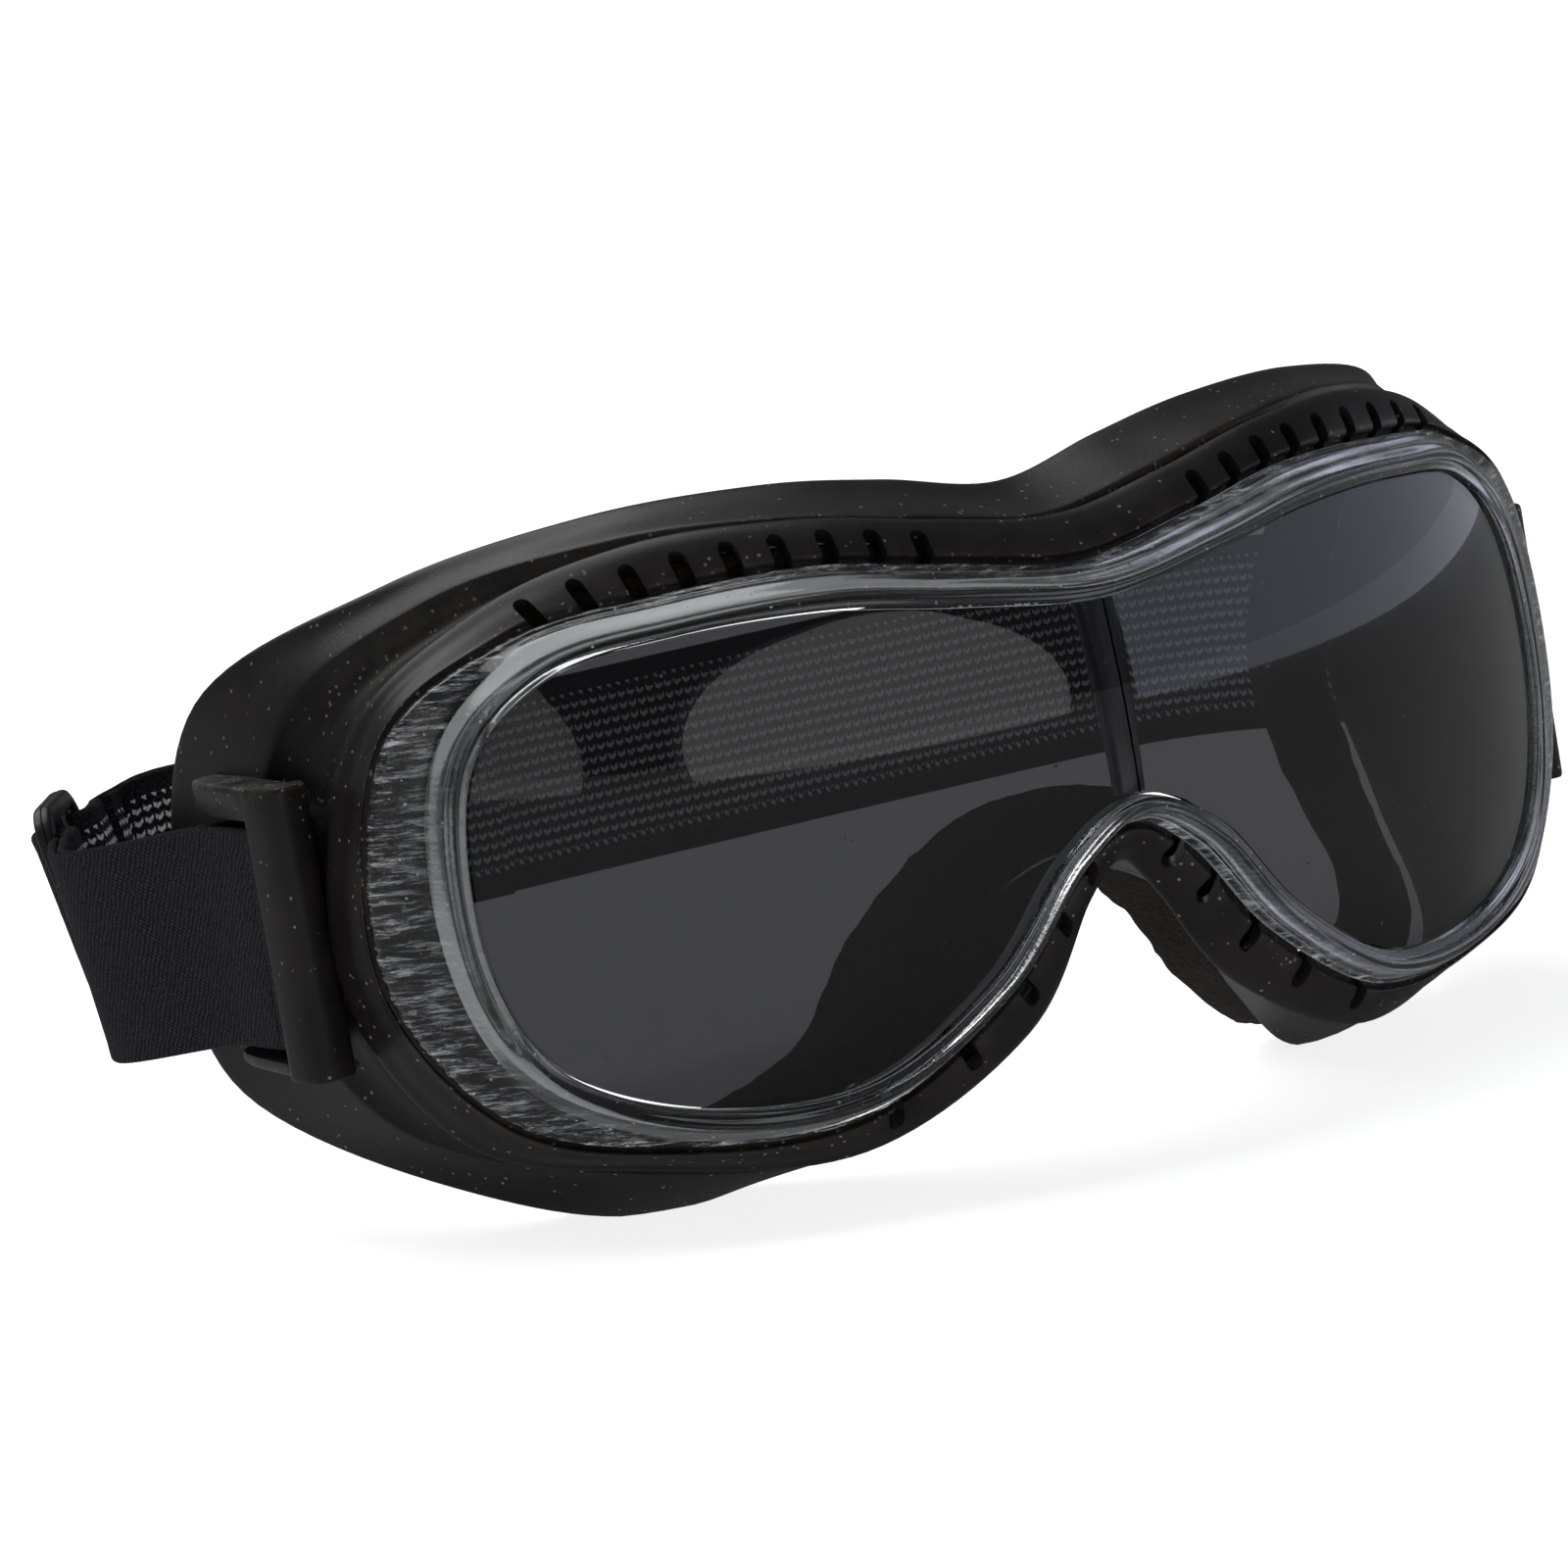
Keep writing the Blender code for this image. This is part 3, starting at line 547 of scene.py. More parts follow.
def makeSliderLook():
    look, tree, shader = startLook("sliderPlastic", {"Specular IOR Level": 0.3})
    cover = dustCover(tree, 0.985)
    scuff = grain(tree, 240.0, 4.0, 0.7, None, ((1.0, 5.0, 1.0), (0.0, 0.3, 0.4)))
    plain = mixed(tree, scuff, (0.004, 0.004, 0.0044, 1.0), (0.009, 0.009, 0.009, 1.0))
    tree.links.new(mixed(tree, calc(tree, "MULTIPLY", cover, 0.7), plain, rubber["dust"]),
                   shader.inputs["Base Color"])
    tree.links.new(spread(tree, scuff, 0.3, 0.7, 0.3, 0.46), shader.inputs["Roughness"])
    addBump(tree, shader, calc(tree, "ADD", scuff, cover), 0.2, 0.00012)
    return look


def makeSteel():
    look, tree, shader = startLook("pinSteel", {"Metallic": 1.0})
    drawn = grain(tree, 500.0, 3.0, 0.6, None, ((6.0, 6.0, 0.4), (0.0, 0.0, 0.0)))
    tree.links.new(mixed(tree, drawn, (0.32, 0.32, 0.33, 1.0), (0.62, 0.62, 0.64, 1.0)),
                   shader.inputs["Base Color"])
    tree.links.new(spread(tree, drawn, 0.3, 0.7, 0.22, 0.4), shader.inputs["Roughness"])
    addBump(tree, shader, drawn, 0.2, 0.0001)
    return look


def makeFloorLook():
    # an evenly lit floor, dimmer in mirror directions so that black parts keep their depth
    look, tree, shader = startLook("paleFloor", {
        "Roughness": 0.8, "Specular IOR Level": 0.1, "Emission Color": (1.0, 1.0, 1.0, 1.0)})
    faint = grain(tree, 6.0, 3.0)
    plain = mixed(tree, faint, (0.6, 0.6, 0.6, 1.0), (0.64, 0.64, 0.64, 1.0))
    mirrored = tree.nodes.new("ShaderNodeLightPath").outputs["Is Glossy Ray"]
    tree.links.new(mixed(tree, mirrored, plain, (0.3, 0.3, 0.3, 1.0)), shader.inputs["Base Color"])
    glow = calc(tree, "SUBTRACT", studio["floorGlow"], calc(tree, "MULTIPLY", mirrored, studio["floorDim"]))
    tree.links.new(glow, shader.inputs["Emission Strength"])
    return look


rubberLook = makeRubber()
clearLook = makeClear()
smokeLooks = {side: makeSmoke(side) for side, _ in sides}
foamLook = makeFoam("faceFoam", padFoam, 1500.0)
filterLook = makeFoam("ventFoam", {"colour": (0.018, 0.016, 0.014, 1.0),
                                   "fibre": (0.11, 0.1, 0.085, 1.0)}, 1100.0)
filmLook = makeFilm()
knitLook = makeKnit()
dashLook = makeDashes()
threadLook = makeThread()
sliderLook = makeSliderLook()
steelLook = makeSteel()
print("materials ready")

# Frame
shell = {
    "carrier": (4.4, 4.9, 5.2, 4.8, 5.4, 11.0, 13.6, 8.8, 5.0, 4.4, 4.0, 3.8, 3.4),
    "carrierBack": (3.2, 3.2, 3.3, 3.3, 3.2, 0.6, 0.2, 2.4, 3.6, 3.0, 3.0, 3.0, 3.0),
    "crest": (9.8, 10.2, 10.7, 11.0, 9.2, 12.8, 17.0, 13.4, 8.8, 10.0, 11.2, 9.6, 8.6),
    "crestBack": (8.8, 8.4, 8.2, 8.1, 8.4, 8.2, 7.6, 10.0, 12.0, 9.0, 8.0, 8.6, 8.2),
    "edge": ((0.0, 24.4, 34.2), (15.0, 25.6, 37.3), (30.0, 29.0, 39.4), (50.0, 37.4, 39.2),
             (71.0, 53.0, 34.4), (86.4, 84.0, 21.5), (87.0, 102.0, -6.0), (86.0, 93.0, -30.0),
             (68.0, 58.0, -44.7), (44.5, 51.0, -50.2), (26.0, 34.0, -37.0), (16.0, 28.0, -22.0),
             (0.0, 24.0, -15.2)),
    # the valley between the crest and the raised ledge: how far back the ledge is, and how deep
    "valleyRun": (1.9, 1.9, 2.1, 4.2, 9.5, 17.0, 20.0, 16.0, 5.0, 2.4, 2.2, 2.2, 2.2),
    "valleyDepth": (2.2, 2.2, 2.4, 3.0, 3.9, 4.2, 3.2, 2.6, 1.8, 1.4, 1.3, 1.3, 1.3),
    "valleyDust": (1.0, 1.0, 1.0, 0.8, 0.45, 0.2, 0.05, 0.05, 0.05, 0.1, 0.1, 0.2, 0.3),
    "wall": 2.0,
}
ventRows = {
    "topCount": 9, "topFrom": 19.0, "topTo": 63.0,
    "noseCount": 5, "noseFrom": 9.15, "noseTo": 11.15,
    "width": 1.9, "topHeight": 3.9, "noseHeight": 3.4,
}


def inwardNormals(row, along):
    tangent = np.roll(row, -1, axis=0) - np.roll(row, 1, axis=0)
    return -unit(np.cross(tangent, along))


def withDust(row, amount):
    amount = np.broadcast_to(np.asarray(amount, float).reshape(-1, 1), (len(row), 1))
    return np.hstack([row, amount])


def frameRows():
    carrier = np.array(shell["carrier"])
    carrierBack = np.array(shell["carrierBack"])
    crest = np.array(shell["crest"])
    crestBack = np.array(shell["crestBack"])
    seatIn = ringAt(1.6, 4.6)
    seatOut = ringAt(carrier + 0.4, carrierBack + 2.1)
    foot = ringAt(carrier + 0.7, carrierBack + 0.9)
    footLip = ringAt(carrier + 1.1, carrierBack + 0.6)
    wallLow = ringAt(0.7 * carrier + 0.3 * crest, 0.72 * carrierBack + 0.28 * crestBack - 0.55)
    wall = ringAt(0.4 * carrier + 0.6 * crest, 0.45 * carrierBack + 0.55 * crestBack - 0.6)
    crestLow = ringAt(crest - 1.1, crestBack - 1.7)
    crestFront = ringAt(crest - 0.35, crestBack - 0.75)
    crestTop = ringAt(crest, crestBack + 0.1)
    crestRear = ringAt(crest - 0.1, crestBack + 0.9)
    edge = smoothLoop(closedOutline(shell["edge"]))
    back = unit(edge - crestRear)
    inward = inwardNormals(crestRear, back)
    run = table(shell["valleyRun"])
    depth = table(shell["valleyDepth"])
    dust = table(shell["valleyDust"])
    dip = crestRear + back * run * 0.3 + inward * depth * 0.75
    valley = crestRear + back * run * 0.62 + inward * depth
    ledgeFoot = crestRear + back * run * 0.92 + inward * depth * 0.66
    ledge = crestRear + back * (run + 0.2) + inward * depth * 0.24
    ledgeRear = crestRear + back * (run + 0.9) + inward * depth * 0.2
    flare = ledgeRear + (edge - ledgeRear) * 0.55 + inward * 0.45
    nearEdge = edge - back * 1.4 + inward * 0.15
    outer = [withDust(seatIn, 0.0), withDust(seatOut, 0.3), withDust(foot, 0.35), withDust(footLip, 0.4),
             withDust(wallLow, 0.12), withDust(wall, 0.05), withDust(crestLow, 0.03),
             withDust(crestFront, 0.02), withDust(crestTop, 0.1 * dust), withDust(crestRear, 0.35 * dust),
             withDust(dip, 0.8 * dust), withDust(valley, dust), withDust(ledgeFoot, 1.0 * dust),
             withDust(ledge, 0.35 * dust), withDust(ledgeRear, 0.15 * dust), withDust(flare, 0.04),
             withDust(nearEdge, 0.03), withDust(edge + back * 0.2 + inward * 0.2, 0.03)]
    thick = shell["wall"]
    inner = [edge + back * 0.2 + inward * (thick - 0.3), edge - back * 1.4 + inward * thick,
             flare + inward * thick, ledge + inward * thick, valley + inward * thick,
             crestFront + inward * (thick + 0.6) + back * 0.8,
             wall + inward * (thick - 0.2) + back * 1.0,
             seatIn + (0.0, 2.0, 0.0)]
    parts = {"seat": seatOut, "foot": footLip, "wall": wall, "crest": crestFront, "crestRear": crestRear,
             "edge": edge, "back": back, "inward": inward}
    return outer + [withDust(row, 0.0) for row in inner], parts


def ventPlaces(loop, first, last, count, byX):
    places = [first + (last - first) * i / (count - 1) for i in range(count)]
    if not byX:
        return places
    stations = np.linspace(0.0, 6.0, 241)
    across = [atStation(loop, s)[0] for s in stations]
    return [float(np.interp(x, across, stations)) for x in places]


def slotCutter(low, up, along, through, height):
    # a slot with a rounded top that opens a little wider at its mouth
    corners = []
    for depth, grow in ((-3.5, 0.75), (-0.2, 0.1), (3.5, 0.0)):
        half = ventRows["width"] * 0.5 + grow
        outline = [(-half, -0.6), (half, -0.6)]
        for step in range(9):
            angle = math.pi * step / 8.0
            outline.append((half * math.cos(angle), height - half + half * 1.25 * math.sin(angle)))
        corners.append([low + along * a + up * b + through * depth for a, b in outline])
    return corners


def ventCutter(parts):
    shape = bmesh.new()
    top = ventPlaces(parts["wall"], ventRows["topFrom"], ventRows["topTo"], ventRows["topCount"], True)
    nose = ventPlaces(parts["wall"], ventRows["noseFrom"], ventRows["noseTo"], ventRows["noseCount"], False)
    rows = [(s, ventRows["topHeight"]) for s in top] + [(s, ventRows["noseHeight"]) for s in nose]
    for station, height in rows:
        for spot in (station, stationCount - station):
            low = atStation(parts["foot"], spot)
            up = unit(atStation(parts["crest"], spot) - low)
            along = unit(atStation(parts["wall"], spot + 0.05) - atStation(parts["wall"], spot - 0.05))
            through = unit(np.cross(along, up))
            if through[1] < 0.0:
                through = -through
            rings = slotCutter(low - up * 0.3, up, along, through, height)
            made = [[shape.verts.new(Vector(place([p])[0])) for p in ring] for ring in rings]
            count = len(made[0])
            for a, b in zip(made[:-1], made[1:]):
                for i in range(count):
                    shape.faces.new((a[i], a[(i + 1) % count], b[(i + 1) % count], b[i]))
            shape.faces.new(made[0])
            shape.faces.new(list(reversed(made[-1])))
    bmesh.ops.recalc_face_normals(shape, faces=shape.faces)
    mesh = bpy.data.meshes.new("ventCutter")
    shape.to_mesh(mesh)
    shape.free()
    cutter = bpy.data.objects.new("ventCutter", mesh)
    bpy.context.collection.objects.link(cutter)
    return cutter


def makeFrame():
    rows, parts = frameRows()
    rows = [row.copy() for row in softRows(rows, 2)]
    for row in rows:
        row[:, 2] = np.maximum(row[:, 2], -origin[2])      # the lobes rest on the floor
    piece = ringPiece("frameShell", rows, [rubberLook])
    cutAway(piece, ventCutter(parts))
    settle(piece, "frame", "frame", "frame_shell")
    return parts


parts = makeFrame()
print("frame ready")


# Where each pair of filter foams starts and ends along the wall, its reach across it, and its depth.
ventFoams = {"top": {"first": 1.0, "last": 4.6, "low": 0.1, "high": 0.8, "gap": 1.2, "behind": 1.4},
             "nose": {"first": 9.5, "last": 11.0, "low": 0.5, "high": 0.9, "gap": 1.6, "behind": 6.0}}


def makeVentFoams():
    wall, crest = parts["wall"], parts["crest"]
    for row, foam in ventFoams.items():
        low, high, gap, behind = foam["low"], foam["high"], foam["gap"], foam["behind"]
        for side, sign in sides:
            spots = np.linspace(foam["first"], foam["last"], 61)
            if sign < 0.0:
                spots = stationCount - spots
            lines = []
            section = [(2.0, low), (1.7, 0.5 * (low + high)), (2.0, high), (3.4, high + 0.03),
                       (4.7, high), (5.0, 0.5 * (low + high)), (4.7, low), (3.4, low - 0.03)]
            for depth, reach in section:
                line = []
                for spot in spots:
                    base = atStation(wall, spot) * (1.0 - reach) + atStation(crest, spot) * reach
                    lump = 0.25 * noise.noise(Vector(base * 1.3))
                    line.append(base + atStation(parts["inward"], spot) * (depth + gap + lump)
                                + atStation(parts["back"], spot) * behind)
                lines.append(line)
            piece = stripPiece(f"ventFoam_{row}_{side}", softRows(lines, 1), [filterLook])
            settle(piece, "frame", "vent_foam", f"vent_foam_{row}_{side}")


makeVentFoams()

# Lens unit
carrierShape = {"ridge": 6.0}
lensGap = 0.3  # round each lens
lensSeam = 0.12  # half the gap between the two


def makeCarrier():
    width = np.array(shell["carrier"])
    setback = np.array(shell["carrierBack"])
    ridge = np.minimum(width, carrierShape["ridge"])
    rows = [ringAt(0.0, 0.6), ringAt(0.0, -0.75), ringAt(0.35, -0.95), ringAt(ridge * 0.2, -1.0),
            ringAt(ridge * 0.26, -1.7), ringAt(ridge * 0.36, -2.0), ringAt(ridge * 0.5, -1.95),
            ringAt(ridge * 0.6, -1.1), ringAt(ridge * 0.72, 0.5), ringAt(ridge * 0.8, 1.1),
            ringAt(width - 0.8, setback - 0.3), ringAt(width - 0.15, setback - 0.1),
            ringAt(width, setback + 0.4), ringAt(width, setback + 1.3), ringAt(width - 0.4, setback + 1.45),
            ringAt(ridge * 0.6, 3.9), ringAt(ridge * 0.5, 4.1), ringAt(0.3, 4.1), ringAt(0.0, 3.7)]
    scuffed = (0, 0, 0, 0, 0, 0, 0.15, 0.2, 0.35, 0.5, 0.9, 1, 1, 0.6, 0.3, 0, 0, 0, 0)
    rows = [withDust(row, amount) for row, amount in zip(rows, scuffed)]
    piece = ringPiece("lensCarrier", softRows(rows, 2), [clearLook])
    settle(piece, "frame", "clear", "lens_carrier")


def makeLenses():
    rim = smoothLoop(offsetOutline(-lensGap))
    half = len(rim) // 2
    across = np.linspace(0.0, 1.0, 25)
    for side, sign in sides:
        columns = []
        for i in range(1, half // 2):
            ends = [rim[i].copy(), rim[half - i].copy()]
            columns.append([ends[0] * (1.0 - s) + ends[1] * s for s in across])
        first = [rim[0].copy(), rim[half].copy()]
        for end in first:
            end[0] = lensSeam
        columns = [c for c in columns if min(c[0][0], c[-1][0]) > lensSeam + 0.3]
        columns.insert(0, [first[0] * (1.0 - s) + first[1] * s for s in across])
        flat = np.array([p for column in columns for p in column]) * (sign, 1.0)
        rows = len(across)
        front = onLens(flat, 0.0, flat[:, 1])
        rear = onLens(flat, 2.0, flat[:, 1])
        count = len(flat)
        sheet = latticeFaces(len(columns), rows, False, False)
        faces = list(sheet)
        faces += [tuple(reversed([v + count for v in face])) for face in sheet]
        border = [rows * c for c in range(len(columns))]
        border += [rows * (len(columns) - 1) + r for r in range(1, rows)]
        border += [rows * c + rows - 1 for c in reversed(range(len(columns) - 1))]
        border += list(reversed(range(1, rows - 1)))
        for i, v in enumerate(border):
            w = border[(i + 1) % len(border)]
            faces.append((v, w, w + count, v + count))
        piece = makePiece(f"lens_{side}_smoke", np.vstack([front, rear]), faces, [smokeLooks[side]])
        settle(piece, "frame", "smoke", f"lens_{side}")




def makePost():
    foot = opening["postFoot"]
    top = opening["half"][0][1] - 0.4
    lines = []
    for angle in np.linspace(0.0, 2.0 * math.pi, 20, endpoint=False):
        x = math.copysign(abs(math.cos(angle)) ** 0.6, math.cos(angle))
        y = math.copysign(abs(math.sin(angle)) ** 0.6, math.sin(angle))
        line = []
        for s in np.linspace(0.0, 1.0, 31):
            z = foot + (top - foot) * s
            line.append((x * (2.0 + 0.7 * s), 3.45 + 0.95 * y + opening["bow"] * z ** 2, z))
        lines.append(line)
    piece = stripPiece("centrePost", lines, [clearLook])
    settle(piece, "frame", "clear", "centre_post")


makeCarrier()
makeLenses()
makePost()
print("lens unit ready")

# Face foam
pad = {
    "inside": 1.2, "radial": 7.0, "seat": 5.0,
    "depth": (8.0, 8.0, 8.0, 8.0, 8.0, 7.0, 6.5, 7.0, 9.0, 11.0, 14.0, 15.0, 15.0),
    # how far the rear of the foam spreads towards the nose
    "flare": (0.0, 0.0, 0.0, 0.0, 0.0, 0.0, 0.0, 0.0, 0.0, 1.0, 5.0, 6.5, 3.0),
    "filmFrom": 9.9, "filmGap": 0.25, "filmThickness": 0.3, "filmAhead": 2.5, "filmBehind": 2.2,
    "fuzz": 0.32,
}


def roughen(piece, amount, scale, seed):
    # sculpts a small uneven relief into the surface
    mesh = piece.data
    shift = Vector((seed * 3.7, seed * 1.3, seed * 9.1))
    normals = [v.normal.copy() for v in mesh.vertices]
    for v, normal in zip(mesh.vertices, normals):
        height = noise.fractal(v.co * scale + shift, 0.9, 2.1, 4)
        v.co += normal * (height * amount * mm)
    mesh.update()


def padCorners():
    thick = shell["wall"]
    edge = parts["edge"]
    back = unit(edge - parts["crestRear"])
    inner = edge + parts["inward"] * (thick + 0.2)
    inward = eased(inwardNormals(edge, back))
    rearward = eased(unit(0.4 * back + (0.0, 1.0, 0.0)))
    depth = table(pad["depth"])
    frontOuter = inner - back * pad["seat"] + inward * pad["inside"]
    flare = table(pad["flare"])
    rearOuter = inner + rearward * depth + inward * (pad["inside"] + 0.4 - flare)
    rearInner = rearOuter + inward * (pad["radial"] + 0.3 * flare) - rearward
    frontInner = frontOuter + inward * pad["radial"]
    return frontOuter, rearOuter, rearInner, frontInner, inward, rearward, back


def makeFoamPad():
    frontOuter, rearOuter, rearInner, frontInner, inward, rearward, back = padCorners()
    crown = 0.5
    rows = [frontOuter, frontOuter * 0.5 + rearOuter * 0.5 - inward * crown * 0.4, rearOuter,
            rearOuter + inward * 1.2 + rearward * 0.1,
            (rearOuter + rearInner) * 0.5 + rearward * crown,
            rearInner - inward * 1.2, rearInner,
            (rearInner + frontInner) * 0.5 + inward * crown, frontInner, (frontInner + frontOuter) * 0.5]
    piece = ringPiece("faceFoamPad", softRows(rows, 3), [foamLook], 80.0)
    roughen(piece, pad["fuzz"], 900.0, 1.0)
    roughen(piece, 0.35, 90.0, 2.0)
    settle(piece, "frame", "face_foam", "face_foam")


def makeFilmStrip():
    inner = parts["edge"] + parts["inward"] * (shell["wall"] + 0.2)
    spots = np.linspace(pad["filmFrom"], stationCount - pad["filmFrom"], 201)
    reachRows = np.linspace(-pad["filmAhead"], pad["filmBehind"], 13)
    lines = []
    for gap, order in ((pad["filmGap"], reachRows),
                       (pad["filmGap"] + pad["filmThickness"], reachRows[::-1])):
        for reach in order:
            line = []
            for spot in spots:
                point = atStation(inner, spot) + atStation(parts["back"], spot) * reach
                crumple = 0.3 * noise.noise(Vector(point * 0.7)) + 0.22 * noise.noise(Vector(point * 2.1))
                proud = max(reach, 0.0) / pad["filmBehind"] * (0.9 + 3.0 * crumple)
                line.append(point + atStation(parts["inward"], spot) * (gap - proud)
                            + atStation(parts["back"], spot) * crumple)
            lines.append(line)
    piece = stripPiece("foamFilmStrip", lines, [filmLook], 60.0)
    settle(piece, "frame", "foam_film", "foam_film")


makeFoamPad()
makeFilmStrip()
print("face foam ready")

# Strap
strap = {
    "height": -6.5, "pinX": 88.4, "pinY": 59.0, "pinRadius": 0.9, "loopGap": 0.15,
    "bandY": 147.0, "bandZ": -7.2, "tailOffset": 2.0, "tailEndX": -20.0,
    "freeRun": 28.0,      # mm of each near layer that the slider's travel takes up
    "bandStart": 22.0,    # mm of band behind the slider that gives when it slides
}
slider = {
    "centre": (-88.3, 130.2, -9.4), "along": (0.491, 0.870, 0.028), "down": (0.172, -0.064, -0.983),
    "length": 35.0, "width": 21.0, "thick": 2.6, "bar": 3.0, "slotLength": 29.6, "corner": 5.0,
}
sliderAlong = unit(np.array(slider["along"]))
sliderDown = unit(np.array(slider["down"]))
sliderOut = unit(np.cross(sliderAlong, sliderDown))
loopTurn = strap["pinRadius"] + strap["loopGap"] + webbing["thickness"] / 2.0


def sliderPoint(along, out, down=0.0):
    return np.array(slider["centre"]) + sliderAlong * along + sliderOut * out + sliderDown * down


def ribbonSection(width, thickness):
    # across, height, and which face each point lies on
    half = width / 2.0
    bead = thickness / 2.0
    section = []
    top = np.linspace(-half + bead, half - bead, 31)
    for v in top:
        swell = 1.0 + 0.14 * np.clip((abs(v) - half + 2.4) / 1.2, 0.0, 1.0)
        section.append((v, bead * swell, 0))
    for angle in np.linspace(60.0, -60.0, 5):
        a = math.radians(angle)
        section.append((half - bead + bead * math.cos(a), bead * 1.14 * math.sin(a), 0))
    for v in top[::-1]:
        swell = 1.0 + 0.14 * np.clip((abs(v) - half + 2.4) / 1.2, 0.0, 1.0)
        section.append((v, -bead * swell, 1))
    for angle in np.linspace(-60.0, 60.0, 5):
        a = math.radians(angle)
        section.append((-half + bead - bead * math.cos(a), bead * 1.14 * math.sin(a), 1))
    return section


def plainRelief(s, v):
    return 0.0


def ribbonPiece(name, path, down=(0.0, 0.0, -1.0), thickness=1.0, width=28.0, flip=False,
                relief=plainRelief, start=0.0, looks=None):
    path = np.array(path, float)
    down = unit(np.broadcast_to(np.array(down, float), path.shape))
    along = unit(np.gradient(path, axis=0))
    face = unit(np.cross(along, down))
    if flip:
        face = -face
    steps = np.linalg.norm(np.diff(path, axis=0), axis=1)
    reach = np.concatenate([[0.0], np.cumsum(steps)]) + start
    section = ribbonSection(width, thickness)
    rows = []
    for v, h, _ in section:
        lift = np.array([relief(s, v) for s in reach])[:, None]
        rows.append(path + down * v + face * (h + lift))
    piece = stripPiece(name, rows, looks or [knitLook, dashLook], 50.0)
    mesh = piece.data
    count = len(path)
    layer = mesh.uv_layers.new(name="strapFlat")
    for polygon in mesh.polygons:
        sidesSeen = [section[i // count][2] for i in polygon.vertices]
        polygon.material_index = 1 if min(sidesSeen) == 1 and len(mesh.materials) > 1 else 0
        for loopIndex in polygon.loop_indices:
            vertex = mesh.loops[loopIndex].vertex_index
            layer.data[loopIndex].uv = (reach[vertex % count], section[vertex // count][0])
    return piece


def puckers(s, v):
    # gathered ridges where the strap leaves its slot, and a gentle wave along it
    ridge = math.sin(2.0 * math.pi * (s * 0.55 + v * 0.42) / 1.5) + 0.6 * math.sin(s * 2.1 - v * 1.7)
    wave = 0.22 * noise.noise(Vector((s * 0.07, v * 0.05, 3.0)))
    return 0.075 * ridge * math.exp(-max(s, 0.0) / 11.0) + wave


def gentle(s, v):
    return 0.3 * noise.noise(Vector((s * 0.05, v * 0.045, 7.0))) + 0.05 * noise.noise(Vector((s, v, 1.0)))


def splitAt(path, down, point, direction):
    ahead = (path - point) @ direction
    cut = int(np.argmax(ahead > 0.0))
    return cut


def makeLoops():
    for side, sign in sides:
        path = [(sign * (strap["pinX"] + loopTurn), strap["pinY"] + 4.0, strap["height"])]
        for angle in np.linspace(0.0, math.pi, 25):
            path.append((sign * (strap["pinX"] + loopTurn * math.cos(angle)),
                         strap["pinY"] - loopTurn * math.sin(angle), strap["height"]))
        path.append((sign * (strap["pinX"] - loopTurn), strap["pinY"] + 4.0, strap["height"]))
        piece = ribbonPiece(f"strapTurn_{side}", path, flip=sign < 0.0)
        settle(piece, "frame", "webbing", f"strap_loop_{side}")


def makeNearRuns():
    entry = sliderPoint(-13.6, -2.6)
    split = sliderPoint(-13.6 - strap["freeRun"], -2.6)
    for layer, sign, lean in (("outer", 1.0, 0.75), ("inner", -1.0, -0.75)):
        begin = np.array((-(strap["pinX"] + sign * loopTurn), strap["pinY"] + 4.05, strap["height"]))
        finish = entry + sliderOut * lean
        path = smoothPath([begin, begin + (-0.6 * sign - 1.6, 14.0, -0.4),
                           finish - sliderAlong * 12.0 - (0.0, 6.0, 0.0), finish - sliderAlong * 5.0,
                           finish], 24)
        share = np.linspace(0.0, 1.0, len(path))[:, None]
        share = share * share * (3.0 - 2.0 * share)
        down = (1.0 - share) * np.array((0.0, 0.0, -1.0)) + share * sliderDown
        cut = splitAt(path, down, split, sliderAlong)
        reach = float(np.sum(np.linalg.norm(np.diff(path[:cut + 1], axis=0), axis=1)))
        first = ribbonPiece(f"strapRun_{layer}_front", path[:cut + 1], down[:cut + 1], relief=puckers)
        second = ribbonPiece(f"strapRun_{layer}_rear", path[cut:], down[cut:], relief=puckers, start=reach)
        for piece in (first, second):
            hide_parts(f"strap_run_{layer}")
        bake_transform(first)
        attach(second, "strap")
        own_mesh(second)


def makeWeave():
    path = []
    for s in np.linspace(-13.2, 13.2, 73):
        lift = 0.5 + 0.5 * math.cos(math.pi * min(abs(s), 8.6) / 8.6)
        path.append(sliderPoint(s, -2.9 + 6.0 * lift))
    piece = ribbonPiece("strapWeave", path, sliderDown, thickness=1.9, relief=gentle)
    settle(piece, "slider", "webbing", "strap_weave")


